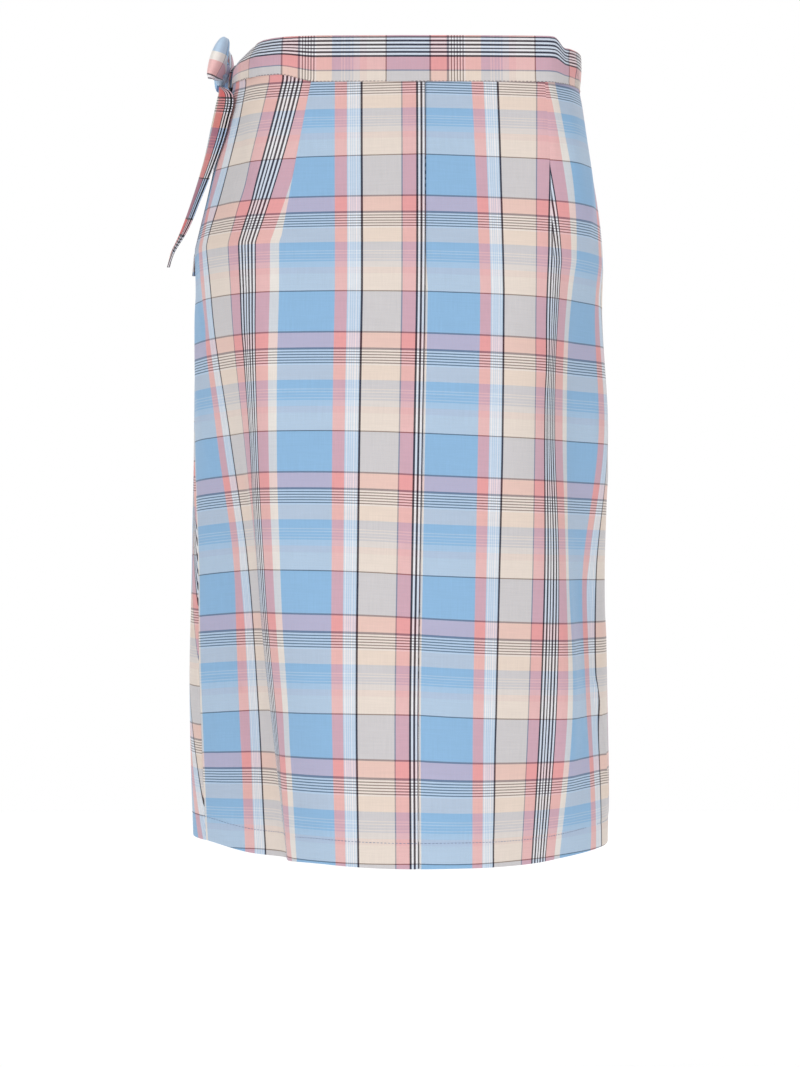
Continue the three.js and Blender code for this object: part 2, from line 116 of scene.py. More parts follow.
# %% Tables of the hanging cloth
STATIONS = [0, 71, 114, 127, 142, 156, 177, 199, 209, 235, HALF_BACK]
TURNS = {
    #   height   centre quarter hip roll crease wall tuck open ledge side seam
    "left": [
        [18, 0, 2, 6, 10, 16, 36, 66, 76, 82, 92, 98],
        [0, 0, 2, 6, 8, 10, 22, 52, 64, 72, 86, 96],
        [-80, 0, 2, 5, 6, 12, 34, 58, 60, 66, 84, 94],
        [-190, 0, 0, 4, 8, 36, 42, 54, 60, 66, 80, 90],
        [-305, 0, 0, 4, 34, 60, 66, 68, 54, 52, 56, 80],
        [-419, 0, 4, 24, 52, 64, 92, 74, 54, 48, 32, 64],
        [-533, 0, 18, 46, 58, 68, 96, 66, 44, 30, 32, 56],
        [HEM_Z, 0, 32, 48, 68, 90, 86, 50, 34, 26, 36, 54],
    ],
    "right": [
        [18, 0, 2, 8, 16, 42, 54, 74, 86, 92, 98, 102],
        [0, 0, 2, 8, 16, 42, 54, 74, 86, 92, 98, 102],
        [-80, 0, 2, 14, 24, 46, 66, 78, 86, 92, 98, 102],
        [-190, 0, 14, 50, 50, 62, 60, 62, 72, 82, 94, 100],
        [-305, 0, 16, 58, 54, 60, 48, 46, 62, 84, 94, 98],
        [-419, 0, 22, 36, 54, 72, 76, 68, 50, 54, 86, 96],
        [-533, 0, 28, 32, 32, 54, 76, 74, 58, 56, 82, 92],
        [HEM_Z, 0, 40, 40, 50, 48, 48, 52, 60, 64, 84, 92],
    ],
}
MIDDLES = [
    # height  back x, back y, front x, front y, left round, right round
    [18, -12.5, 76, 2, -81, 0.6, 0.6],
    [0, -12.5, 80, 2, -84, 0.6, 0.6],
    [-80, -12.5, 102, 4, -100, 0.6, 0.6],
    [-190, -12, 123, 8, -112, 0.6, 0.6],
    [-305, -10, 127, 9, -118, 0.6, 0.6],
    [-419, -8, 127, 9, -126, 0.65, 0.6],
    [-533, -6.5, 126, 9, -138, 0.75, 0.6],
    [HEM_Z, -7, 125, 9, -152, 0.8, 0.6],
]
print(len(TURNS["left"]), "sections of", len(STATIONS), "stations")


# %% [markdown]
# ## Sections
# A smooth curve runs through the rows of each table, so a section can be asked for at any height. The
# back is walked step by step, and the front is one smooth curve from side seam to side seam. The sections
# are stacked once, and then any point of the skirt is looked up between them, which is quick for the
# thousands of points that a fine shell needs.

# %% Section helpers
def row_at(table, height):
    """The row of a table at a height, by a smooth curve through its rows."""
    heights = [row[0] for row in table]
    rows = np.array([row[1:] for row in table], float)
    last = len(table) - 1
    height = min(heights[0], max(heights[last], height))
    i = 0
    while i < last - 1 and height < heights[i + 1]:
        i += 1
    step = heights[i + 1] - heights[i]
    t = (height - heights[i]) / step

    def slope(j):
        a, b = max(0, j - 1), min(last, j + 1)
        return (rows[b] - rows[a]) / (heights[b] - heights[a]) * step

    return ((2 * t**3 - 3 * t**2 + 1) * rows[i] + (t**3 - 2 * t**2 + t) * slope(i)
            + (3 * t**2 - 2 * t**3) * rows[i + 1] + (t**3 - t**2) * slope(i + 1))


def smooth(t):
    t = np.clip(t, 0, 1)
    return t * t * (3 - 2 * t)


def cut_at(side, z):
    """Where the cloth of a half back starts and ends at a height, and the two legs of its dart."""
    shaping = np.clip((z - TOP_SHAPED) / (-BAND_HEIGHT / 2 - TOP_SHAPED), 0, 1)
    dart = DARTS[side]
    opened = np.clip((z - dart["point_z"]) / (-BAND_HEIGHT / 2 - dart["point_z"]), 0, 1)
    near = dart["at_point"] + (dart["at_band"] - dart["at_point"]) * opened
    return {
        "start": CUT_IN[side]["centre"] * shaping,
        "end": HALF_BACK - CUT_IN[side]["side"] * shaping**2,
        "near": near,
        "far": near + dart["take_up"] * opened,
        "stretch": 1 + CUT_IN[side]["stretch"] * shaping,
        "opened": opened,
    }


# %% Walk half a back and curve the front
WALK_STEPS = 262
FRONT_STEPS = 480
FRONT_HANDLE = 0.55  # how far the front's middle stays flat, as a share of half its width


def half_back(side, z):
    """Half a back at a height: a row of x, y and outward x, y for each step from the centre seam."""
    sign = 1 if side == "left" else -1
    cut = cut_at(side, z)
    back_x, back_y = row_at(MIDDLES, z)[:2]
    width = cut["near"] - cut["start"] + cut["end"] - cut["far"]
    along = np.linspace(0, width, WALK_STEPS + 1)
    beyond = along > cut["near"] - cut["start"]
    cloth = cut["start"] + along + np.where(beyond, cut["far"] - cut["near"], 0)
    turn = np.radians(np.interp(cloth, STATIONS, row_at(TURNS[side], z)))
    step = width / WALK_STEPS * cut["stretch"]
    x = back_x + sign * np.concatenate([[0], np.cumsum(np.cos(turn[1:]) * step)])
    y = back_y - np.concatenate([[0], np.cumsum(np.sin(turn[1:]) * step)])
    return np.stack([x, y, sign * np.sin(turn), np.cos(turn)], axis=1)


def half_front(side, z):
    """A smooth curve from a side seam to the middle of the front."""
    sign = 1 if side == "left" else -1
    front_x, front_y, left_round, right_round = row_at(MIDDLES, z)[2:]
    seam_x, seam_y, out_x, out_y = half_back(side, z)[-1]
    reach = (left_round if side == "left" else right_round) * abs(front_y - seam_y)
    handles = np.array([
        [seam_x, seam_y],
        [seam_x + sign * out_y * reach, seam_y - sign * out_x * reach],
        [front_x + sign * FRONT_HANDLE * abs(front_x - seam_x), front_y],
        [front_x, front_y],
    ])
    t = np.linspace(0, 1, FRONT_STEPS)[:, None]
    return ((1 - t)**3 * handles[0] + 3 * (1 - t)**2 * t * handles[1]
            + 3 * (1 - t) * t**2 * handles[2] + t**3 * handles[3])


def whole_front(z):
    """The whole front at a height, from the left side seam round to the right one."""
    line = np.concatenate([half_front("left", z), half_front("right", z)[-2::-1]])
    ahead = np.gradient(line, axis=0)
    ahead /= np.linalg.norm(ahead, axis=1)[:, None]
    return np.concatenate([line, np.stack([-ahead[:, 1], ahead[:, 0]], axis=1)], axis=1)


# %% Stack the sections
LEVELS = np.linspace(HEM_Z, 21, 226)  # every 3 mm
SHARES = 401  # points of each section, evenly spaced along it


def stack(section_at):
    """The sections at every level, each with the same number of points, and their lengths."""
    rows, lengths = [], []
    for z in LEVELS:
        section = section_at(z)
        steps = np.linalg.norm(np.diff(section[:, :2], axis=0), axis=1)
        total = np.concatenate([[0], np.cumsum(steps)])
        even = np.linspace(0, total[-1], SHARES)
        rows.append(np.stack([np.interp(even, total, section[:, k]) for k in range(4)], axis=1))
        lengths.append(total[-1])
    return {"rows": np.array(rows), "lengths": np.array(lengths)}


SURFACES = {
    "left": stack(lambda z: half_back("left", z)),
    "right": stack(lambda z: half_back("right", z)),
    "front": stack(whole_front),
}


def on_surface(name, z, share):
    """The place x, y and the outward direction x, y at heights and at shares of the way along."""
    rows = SURFACES[name]["rows"]
    level = np.clip((z - LEVELS[0]) / (LEVELS[1] - LEVELS[0]), 0, len(LEVELS) - 1.001)
    place = np.clip(share, 0, 1) * (SHARES - 1.001)
    i, j = level.astype(int), place.astype(int)
    f, g = (level - i)[..., None], (place - j)[..., None]
    found = ((rows[i, j] * (1 - g) + rows[i, j + 1] * g) * (1 - f)
             + (rows[i + 1, j] * (1 - g) + rows[i + 1, j + 1] * g) * f)
    found[..., 2:] /= np.linalg.norm(found[..., 2:], axis=-1)[..., None]
    return found


def length_at(name, z):
    """How long a section is at a height."""
    return np.interp(z, LEVELS, SURFACES[name]["lengths"])


def moved_out(found, out, z):
    """Points in space from looked-up places, moved out of the surface."""
    x = found[..., 0] + found[..., 2] * out
    y = found[..., 1] + found[..., 3] * out
    return np.stack([x, y, z + 0 * x], axis=-1)


def outward(found):
    """The directions out of the surface at looked-up places, which are all level."""
    return np.stack([found[..., 2], found[..., 3], 0 * found[..., 2]], axis=-1)


def placed(name, z, share, out):
    """Points in space at heights and shares, moved out of the surface."""
    return moved_out(on_surface(name, z, share), out, z)


print("hem round the back:", round(float(length_at("left", HEM_Z) + length_at("right", HEM_Z))), "mm")


# %% [markdown]
# ## Edges that the bow draws in
# Where the bow is tied at the wearer's left, the waistband is pulled together, so its lower edge rises
# and its upper edge falls. Both fade out toward the back and the front.

# %% Edges of the waistband
def seam_rise(from_seam):
    """Rise of the lower edge, from the distance behind the left side seam (before it if negative)."""
    before = 1 - smooth(-from_seam / DRAWN_IN["front"])
    start = DRAWN_IN["rise_start"] - DRAWN_IN["rise_back"]
    behind = 1 - smooth((from_seam - start) / DRAWN_IN["rise_back"])
    return DRAWN_IN["rise"] * np.where(from_seam < 0, before, behind)


def top_fall(from_seam):
    """Fall of the upper edge at the same places."""
    before = 1 - smooth(-from_seam / DRAWN_IN["front"])
    behind = 1 - smooth(from_seam / DRAWN_IN["fall_back"])
    return DRAWN_IN["fall"] * np.where(from_seam < 0, before, behind)


print("the lower edge rises", float(seam_rise(np.array(0.0))), "mm at the bow")

# %% [markdown]
# ## The check
# A madras check is woven from two lists of coloured yarn: the warp runs down the cloth and the weft runs
# across it. Each list is charted as stripes with a width in millimetres. The lists become two colour
# ramps that read the cloth's own coordinates. Where warp and weft cross, both colours show, so the ramps
# are mixed, and a ramp's alpha says how strongly a yarn shows through the other.

# %% Yarn colours
YARNS = {
    "sky": (140, 186, 225),
    "rose": (236, 158, 156),
    "sand": (236, 216, 198),
    "mist": (206, 221, 236),
    "cream": (238, 230, 221),
    "chalk": (243, 243, 248),
    "blush": (228, 218, 221),
    "pink": (238, 174, 178),
    "haze": (153, 190, 225),
    "oat": (236, 222, 214),
    "milk": (234, 232, 231),
    "plum": (36, 13, 31),
    "slate": (84, 74, 98),
    "stone": (132, 112, 116),
}


def colour(rgb):
    """A colour as Blender mixes it, from its 0 to 255 screen values."""
    parts = [c / 255 for c in rgb]
    return (*[p / 12.92 if p <= 0.04045 else ((p + 0.055) / 1.055)**2.4 for p in parts], 1)


# %% Charts of warp and weft
def lines(ground, line, count, width, thick):
    """A stripe of one ground yarn with evenly spaced lines of another."""
    gap = (width - count * thick) / (count + 1)
    rows = [(ground, gap)]
    for _ in range(count):
        rows += [(line, thick), (ground, gap)]
    return rows


def cords(line, between, count, width, thick):
    """Dark lines with light ones between them, dark at both ends."""
    gap = (width - count * thick) / (count - 1)
    rows = [(line, thick)]
    for _ in range(count - 1):
        rows += [(between, gap), (line, thick)]
    return rows


WARP = [("sky", 42.8), ("rose", 9.6), *lines("mist", "chalk", 5, 10.4, 0.7), ("plum", 1.55),
        ("sand", 30.5), ("stone", 0.9), ("rose", 10.85), *cords("plum", "chalk", 6, 17.2, 1.5),
        ("rose", 11.65), ("cream", 7.5)]
WEFT = [("plum", 0.8), ("haze", 32.2), ("slate", 1.5), ("pink", 11.9), ("slate", 1.5),
        *lines("chalk", "plum", 5, 12.7, 0.75), ("oat", 11.9), ("haze", 5.6),
        *lines("haze", "mist", 4, 10.6, 0.8), ("mist", 5.1), ("blush", 5.1), ("milk", 14.4)]
WARP_REPEAT = sum(width for _, width in WARP)
WEFT_REPEAT = sum(width for _, width in WEFT)
DARK_YARNS = ("plum", "slate", "stone")
WEFT_SHOWS = 0.37  # how much of the crossing yarns' colour is the weft's
DARK_WEFT_SHOWS = 0.62
DARK_WARP_HIDES = 0.22  # what a dark warp line leaves of the weft's share
print(f"warp repeat {WARP_REPEAT:.1f} mm, weft repeat {WEFT_REPEAT:.1f} mm")


# %% Helpers for materials
class Nodes:
    """A material's node tree, with short ways to add and join nodes."""

    def __init__(self, name):
        self.material = bpy.data.materials.new(name)
        self.material.use_nodes = True
        self.tree = self.material.node_tree
        self.shader = self.tree.nodes["Principled BSDF"]

    def add(self, kind, inputs=(), **settings):
        node = self.tree.nodes.new(kind)
        for key, value in settings.items():
            setattr(node, key, value)
        for socket, value in dict(inputs).items():
            self.put(node, socket, value)
        return node

    def put(self, node, socket, value):
        if isinstance(value, bpy.types.NodeSocket):
            self.tree.links.new(value, node.inputs[socket])
        else:
            node.inputs[socket].default_value = value

    def math(self, operation, a, b=0.0):
        return self.add("ShaderNodeMath", {0: a, 1: b}, operation=operation).outputs[0]

    def finish(self, **sockets):
        for socket, value in sockets.items():
            self.put(self.shader, socket.replace("_", " "), value)
        return self.material


def stripes(nodes, place, repeat, chart, alphas):
    """A ramp of hard stripes that repeats along a coordinate in metres."""
    turn = nodes.math("FRACT", nodes.math("DIVIDE", place, repeat * MM))
    ramp = nodes.add("ShaderNodeValToRGB", {"Fac": turn})
    ramp.color_ramp.interpolation = "CONSTANT"
    start = 0.0
    for i, (yarn, width) in enumerate(chart):
        stops = ramp.color_ramp.elements
        stop = stops[0] if i == 0 else stops[1] if i == 1 else stops.new(start / repeat)
        stop.position = start / repeat
        stop.color = (*colour(YARNS[yarn])[:3], alphas(yarn))
        start += width
    return ramp


# %% [markdown]
# ## Cloth finish, with painted light and shade
# The cloth is a plain weave: single yarns pass over and under each other, a little uneven in thickness.
# The weave is drawn from two sine waves of the cloth's coordinates. It shifts the colour between warp
# and weft and raises each crossing. Long thin noise along each yarn gives the slubs of handwoven cotton.
# The loops are made brighter as painted light, and the tails darker and deeper as painted shade.

# %% Check cotton
YARN_PITCH = 0.42  # mm from one yarn to the next
SLUB = {"along": 45.0, "across": 1500.0, "tone": 0.14}  # noise scales per metre, and how much it shows
FADED = {"scale": 9.0, "tone": 0.07}  # broad patches that are a little paler or fuller
RELIEF = {"slub": 0.8, "strength": 2.2, "depth": 0.00008}


def check_cotton(name, roughness=0.88, sheen=0.25, weave=0.16, light=1.0, depth=1.0):
    """Check cotton. weave is how much single crossings show, light over 1 brightens the colour as painted
    light, and depth over 1 darkens and deepens it as painted shade, as where two layers lie in each other's
    shade."""
    nodes = Nodes(name)
    uv = nodes.add("ShaderNodeUVMap", uv_map="cloth").outputs[0]
    split = nodes.add("ShaderNodeSeparateXYZ", {0: uv})
    across, down = split.outputs[0], split.outputs[1]

    warp = stripes(nodes, across, WARP_REPEAT, WARP,
                   lambda yarn: DARK_WARP_HIDES if yarn == "plum" else 1)
    weft = stripes(nodes, down, WEFT_REPEAT, WEFT,
                   lambda yarn: DARK_WEFT_SHOWS if yarn in DARK_YARNS else WEFT_SHOWS)

    half_turn = math.pi / (YARN_PITCH * MM)
    wave_across = nodes.math("SINE", nodes.math("MULTIPLY", across, half_turn))
    wave_down = nodes.math("SINE", nodes.math("MULTIPLY", down, half_turn))
    crossing = nodes.math("MULTIPLY", wave_across, wave_down)
    shows = nodes.math("MULTIPLY", warp.outputs["Alpha"], weft.outputs["Alpha"])
    shows = nodes.math("ADD", shows, nodes.math("MULTIPLY", crossing, weave))
    woven = nodes.add("ShaderNodeMix", {0: shows, 6: warp.outputs["Color"], 7: weft.outputs["Color"]},
                      data_type="RGBA", clamp_factor=True)

    def slub(across_scale, down_scale, seed):
        place = nodes.add("ShaderNodeCombineXYZ", {
            0: nodes.math("MULTIPLY", across, across_scale),
            1: nodes.math("MULTIPLY", down, down_scale), 2: seed})
        return nodes.add("ShaderNodeTexNoise", {"Vector": place.outputs[0], "Scale": 1.0, "Detail": 2.0,
                                                "Roughness": 0.6}).outputs["Fac"]

    warp_slub = slub(SLUB["across"], SLUB["along"], 0.0)
    weft_slub = slub(SLUB["along"], SLUB["across"], 7.3)
    faded = slub(FADED["scale"], FADED["scale"], 3.1)
    slubs = nodes.math("ADD", warp_slub, weft_slub)
    tone = nodes.math("ADD", nodes.math("MULTIPLY", slubs, SLUB["tone"]),
                      nodes.math("MULTIPLY", faded, FADED["tone"]))
    tone = nodes.math("ADD", tone, 1.0 - 0.5 * (2 * SLUB["tone"] + FADED["tone"]))
    # painted light: light over 1 makes the whole colour brighter
    tone = nodes.math("MULTIPLY", tone, light)
    # painted shade: a gamma of depth over 1 makes the colour darker and deeper
    painted_shade_colour = nodes.add("ShaderNodeGamma", {"Color": woven.outputs[2], "Gamma": depth}).outputs[0]
    toned = nodes.add("ShaderNodeVectorMath", {0: painted_shade_colour, 3: tone}, operation="SCALE").outputs[0]

    relief = nodes.math("ADD", nodes.math("ABSOLUTE", crossing),
                        nodes.math("MULTIPLY", slubs, RELIEF["slub"]))
    bump = nodes.add("ShaderNodeBump", {"Height": relief, "Strength": RELIEF["strength"] * weave,
                                        "Distance": RELIEF["depth"]})
    return nodes.finish(Base_Color=toned, Roughness=roughness, Normal=bump.outputs[0],
                        Sheen_Weight=sheen, Sheen_Roughness=0.5, Specular_IOR_Level=0.25)


PANEL_COTTON = check_cotton("check_cotton")
BAND_COTTON = check_cotton("waistband_cotton", roughness=0.86)
# painted light: the loops and the knot are 15 percent brighter than the panels
LOOP_COTTON_PAINTED_LIGHT = check_cotton("loop_cotton_painted_light", roughness=0.84, sheen=0.3, weave=0, light=1.15)
# painted shade: the tails are darker and deeper with a gamma of 2.3, then made 10 percent brighter
TAIL_COTTON_PAINTED_SHADE = check_cotton("tail_cotton_painted_shade", roughness=0.84, sheen=0.2, weave=0.01, depth=2.3, light=1.1)
print("materials:", PANEL_COTTON.name, BAND_COTTON.name, LOOP_COTTON_PAINTED_LIGHT.name, TAIL_COTTON_PAINTED_SHADE.name)


# %% Thread
def thread(name, rgb):
    """Twisted sewing thread: fine slanted ridges with a slight gloss, the grooves between them painted
    darker as painted shade.
    """
    nodes = Nodes(name)
    place = nodes.add("ShaderNodeTexCoord").outputs["Object"]
    twist = nodes.add("ShaderNodeTexWave", {"Vector": place, "Scale": 900.0, "Distortion": 1.5},
                      bands_direction="DIAGONAL")
    # painted shade: the thread is a fifth darker in the grooves of its twist
    shade = nodes.add("ShaderNodeMix", {0: twist.outputs["Fac"], 6: colour([c * 0.8 for c in rgb]),
                                        7: colour(rgb)}, data_type="RGBA")
    bump = nodes.add("ShaderNodeBump", {"Height": twist.outputs["Fac"], "Strength": 0.3,
                                        "Distance": 0.0001})
    return nodes.finish(Base_Color=shade.outputs[2], Roughness=0.6, Normal=bump.outputs[0],
                        Sheen_Weight=0.2)


HEM_THREAD = thread("hem_thread", (128, 146, 184))
EDGE_THREAD = thread("edge_thread", (92, 66, 86))
print("thread:", HEM_THREAD.name, EDGE_THREAD.name)

# %% [markdown]
# ## Creases
# A pressed cotton skirt has only soft, shallow creases. The large folds are in the sections already.
# The table below lists the small ones, one by one: where it starts and ends in the cloth, how
# wide it is and how deep. They are uneven on purpose, and pull from the dart points, the waistband and
# the side seams, where real cloth is held.

# %% Table of creases
CREASES = {
    # across, height at one end; across, height at the other; half width; depth (negative is a trough)
    "left": [
        (96, -24, 108, -92, 7, 0.9), (112, -150, 118, -236, 11, 1.2), (60, -22, 66, -70, 6, -0.5),
        (196, -30, 152, -118, 8, -1.6), (222, -46, 190, -150, 9, 1.5), (236, -120, 214, -216, 7, -1.3),
        (246, -210, 228, -330, 9, 1.1), (30, -210, 38, -300, 12, 0.6), (84, -330, 92, -452, 14, 0.7),
        (176, -350, 168, -470, 7, -1.2), (204, -420, 216, -560, 8, 1.3), (240, -470, 247, -600, 6, -0.9),
        (52, -500, 60, -610, 13, -0.6), (118, -560, 124, -640, 9, 0.8), (150, -240, 146, -330, 5, -0.8),
    ],
    "right": [
        (22, -168, 30, -240, 6, -0.8), (40, -214, 52, -262, 7, 0.6), (70, -22, 62, -80, 7, 0.5),
        (112, -160, 110, -250, 10, 1.3), (150, -22, 132, -96, 8, -1.2), (188, -40, 164, -140, 9, 1.3),
        (226, -70, 206, -190, 9, -1.2), (240, -220, 232, -340, 7, 0.9), (90, -300, 82, -420, 13, -0.6),
        (196, -430, 204, -520, 6, -1.4), (207, -520, 222, -612, 3.2, 2.6), (176, -540, 190, -640, 8, 1.0),
        (36, -400, 30, -520, 14, 0.6), (64, -560, 70, -640, 10, -0.7), (238, -480, 244, -620, 8, 0.9),
    ],
    "front": [
        (38, -22, 58, -120, 10, -2.0), (82, -20, 120, -150, 12, 2.2), (150, -22, 168, -108, 9, -1.2),
        (60, -150, 96, -300, 14, 1.8), (214, -24, 206, -92, 8, 0.8), (262, -22, 250, -130, 11, -1.3),
        (118, -260, 138, -430, 16, -1.6), (188, -190, 196, -330, 15, 1.2), (246, -300, 240, -470, 17, -1.4),
        (300, -120, 288, -280, 13, 1.3), (52, -380, 60, -560, 12, 1.5), (160, -470, 168, -630, 15, 1.7),
        (228, -500, 234, -640, 12, -1.2), (316, -380, 322, -560, 14, 1.4), (96, -560, 98, -645, 9, -1.1),
        (380, -200, 372, -380, 13, -1.3), (396, -470, 402, -620, 11, 1.2),
    ],
}


CREASE_BEND = 0.6  # how far the middle of a crease bows aside, as a share of its half width
PUCKER_WIDTH = 2.2
PUCKERS = {"seam": 0.35, "dart": 0.9, "hem": 0.3, "free edge": 0.25}  # how far each sewing draws in


def creased(side, across, z):
    """How far the creases move the cloth in or out."""
    moved = np.zeros_like(across + z)
    for across_a, z_a, across_b, z_b, half_width, depth in CREASES[side]:
        run = np.array([across_b - across_a, z_b - z_a], float)
        t = ((across - across_a) * run[0] + (z - z_a) * run[1]) / (run @ run)
        held = np.clip(t, 0, 1)
        bend = half_width * CREASE_BEND * np.sin(math.pi * held)
        beside = across - across_a - run[0] * held - bend
        beyond = (t - held) * np.linalg.norm(run)
        moved += depth * np.exp(-(beside / half_width)**2 - (beyond / (2 * half_width))**2)
    return moved


def puckered(distance, along, depth=PUCKERS["seam"]):
    """A line of sewing draws the cloth in a little, unevenly along its length."""
    uneven = 0.6 + 0.25 * np.sin(along / 5.3) + 0.15 * np.sin(along / 2.1 + 1.3)
    return -depth * uneven * np.exp(-(distance / PUCKER_WIDTH)**2)


print(sum(len(rows) for rows in CREASES.values()), "creases")

# %% [markdown]
# ## Weaving a shell
# Each piece of cloth is a grid of points with the cloth's own coordinates: the place across the warp
# chart and the place down the weft chart. A grid keeps the check straight along the yarns, which a
# simulated or remeshed cloth would lose. Solidify then gives it a real wall, inward from the outside.

# %% Shell helpers
CLOTH = 0.6  # wall of one layer


def pick(piece):
    """Selects one piece alone, ready for an operator."""
    bpy.ops.object.select_all(action="DESELECT")
    piece.select_set(True)
    bpy.context.view_layer.objects.active = piece


def grid_piece(name, points, patches, material, around=False):
    """A piece from a grid of points in millimetres. Each patch is its first column, its last column and
    its cloth coordinates. A grid that goes around joins its last row to its first."""
    rows, columns = points.shape[:2]
    quads, coordinates = [], []
    for first, last, cloth in patches:
        for r in range(rows if around else rows - 1):
            below = (r + 1) % rows
            for c in range(first, last):
                corner, corner_below = r * columns + c, below * columns + c
                quads.append((corner, corner_below, corner_below + 1, corner + 1))
                k = c - first
                coordinates += [cloth[r, k], cloth[below, k], cloth[below, k + 1], cloth[r, k + 1]]
    mesh = bpy.data.meshes.new(name)
    mesh.from_pydata((points.reshape(-1, 3) * MM).tolist(), [], quads)
    layer = mesh.uv_layers.new(name="cloth")
    layer.data.foreach_set("uv", (np.array(coordinates) * MM).ravel())
    piece = bpy.data.objects.new(name, mesh)
    bpy.context.scene.collection.objects.link(piece)
    piece.data.materials.append(material)
    return piece


def faces_out(piece):
    """Turns the faces round if most of them look toward the middle of the skirt."""
    mesh = piece.data
    if sum(p.normal.x * p.center.x + p.normal.y * p.center.y for p in mesh.polygons) < 0:
        mesh.flip_normals()


def normals_out(piece):
    """Turns every face of a closed piece outward."""
    pick(piece)
    bpy.ops.object.mode_set(mode="EDIT")
    bpy.ops.mesh.select_all(action="SELECT")
    bpy.ops.mesh.normals_make_consistent(inside=False)
    bpy.ops.object.mode_set(mode="OBJECT")


def thicken(piece, wall):
    """Gives a sheet its wall, inward, and smooth shading that stops at the cut edges."""
    pick(piece)
    solid = piece.modifiers.new("wall", "SOLIDIFY")
    solid.thickness = wall * MM
    solid.offset = -1
    bpy.ops.object.modifier_apply(modifier=solid.name)
    bpy.ops.object.shade_smooth_by_angle(angle=math.radians(50))


def dressed(piece, node):
    """Attaches a piece of cloth to the root, hides the CAD node that it replaces, and prints its size."""
    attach(piece, "root")
    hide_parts(node)
    cloth = sum(p.area for p in piece.data.polygons) / 2
    print(piece.name, len(piece.data.polygons), "faces, cloth", round(cloth, 5), "m2")


# %% [markdown]
# ## The hem
# The hem of a cotton skirt is turned to the inside twice and stitched once. Here the shell simply goes
# on past the lower edge, turns through half a circle and runs back up inside, so the edge is round and
# the inside shows the turning.

# %% Rows of a panel with its hem
PANEL_ROWS = 190
HEM_TURN = 0.75  # radius of the turned edge
HEM_DEPTH = 22
STITCH_ABOVE_HEM = 21
UNDER_BAND = 5  # how far a panel runs up inside the waistband


def hem_rows():
    """Rows from the top of a panel to its hem and up again inside: the share of the drop, the height
    over the hem, how far in the row lies, and how much cloth lies beyond the hem."""
    rows = [(share, None, 0.0, 0.0) for share in np.linspace(0, 1, PANEL_ROWS)]
    for angle in np.linspace(0, math.pi, 7)[1:]:
        height = HEM_TURN * (1 - math.sin(angle))
        rows.append((1.0, height, HEM_TURN * (1 - math.cos(angle)), HEM_TURN * angle))
    for up in np.linspace(0, HEM_DEPTH - HEM_TURN, 9)[1:]:
        rows.append((1.0, HEM_TURN + up, 2 * HEM_TURN, HEM_TURN * math.pi + up))
    return rows


def hem_dip(side, across):
    """What the hem dips at shares of the way across a half back: nothing at its two seams."""
    dip = HEM_DIP[side]
    return (dip["depth"] * smooth((across - dip["from"]) / (dip["at"] - dip["from"]))
            * smooth((1 - across) / (1 - dip["at"])))


def hem_grid(top, low):
    """Heights, inward places and spare cloth for every row and column, from the heights of the top edge
    and of the hem."""
    z, inward, spare = [], [], []
    for share, over_hem, deep, beyond in hem_rows():
        z.append(top + (low + HEM_TURN - top) * share if over_hem is None else low + over_hem)
        inward.append(np.full_like(top, deep))
        spare.append(np.full_like(top, beyond))
    return np.array(z), np.array(inward), np.array(spare)


EDGE_ROLL = {"depth": 1.3, "width": 0.55}
CALM_OVER_HEM = {"height": 30, "left": 0.35}  # creases fade toward the hem, but not to nothing


def edge_roll(distance):
    """A sewn edge turns inward over its last millimetre."""
    return -EDGE_ROLL["depth"] * np.exp(-(distance / EDGE_ROLL["width"])**2)


def calmer(over_hem):
    """What is left of the creases at heights over the hem."""
    return smooth(over_hem / CALM_OVER_HEM["height"] + CALM_OVER_HEM["left"])


print(len(hem_rows()), "rows in a panel, of which", PANEL_ROWS, "hang")

# %% [markdown]
# ## The half backs
# Each half back is one piece with a dart. The dart hides a wedge of cloth, so the check jumps where its
# two legs meet. The grid is split there into two patches that share the points of the seam but not
# the cloth coordinates. The weft also sags a little toward the sides, which the grain table holds.

# %% Grain of the back
THIN_LINE_Z = -78.4  # where a thin dark weft line crosses the centre seam
WARP_AT_CENTRE = {"left": 114.0, "right": -1.8}  # place in the warp chart at the centre seam
GRAIN_DROP = [
    # height, centre, left middle, left side, right middle, right side
    [0, 5, 7.5, 7, 9, 13],
    [-28, 5, 7.5, 7.5, 9, 13.5],
    [-52, 3, 5.5, 9, 6.8, 10],
    [-80, 1.5, 5.2, 11, 6, 9],
    [-125, 2, 4, 10, 5.5, 9.5],
    [-190, 0, 0.5, 6.5, 4, 8.5],
    [-305, 0, -1.5, 7, 5.5, 11],
    [-419, 0.5, -3, 7, 6, 11.5],
    [-480, 1.6, 1, 9.5, 9.5, 14],
    [-533, -0.5, 1.6, 12.5, 7.5, 13.5],
    [-590, 5, 6.3, 13.7, 10.5, 12.7],
    [HEM_Z, 6.3, 10, 15, 10, 11],
]
GRAIN_ROWS = np.array([row_at(GRAIN_DROP, z) for z in LEVELS])


EASE = [
    # height, left, right: how far the cloth in the middle of each half lies nearer the centre seam
    [0, 0.5, 3],
    [-60, -1, 6],
    [-120, -2, 8],
    [-190, -3, 7],
    [-260, -3.5, 4.5],
    [-330, -2.5, 2.5],
    [-419, 0, 2],
    [HEM_Z, 0, 2],
]
EASE_ROWS = np.array([row_at(EASE, z) for z in LEVELS])


def eased(side, z, share, length):
    """Shares across half a back with the cloth of the middle drawn toward the centre seam."""
    toward_centre = np.interp(z, LEVELS, EASE_ROWS[:, 0 if side == "left" else 1])
    return share - toward_centre / length * (4 * share * (1 - share))**4


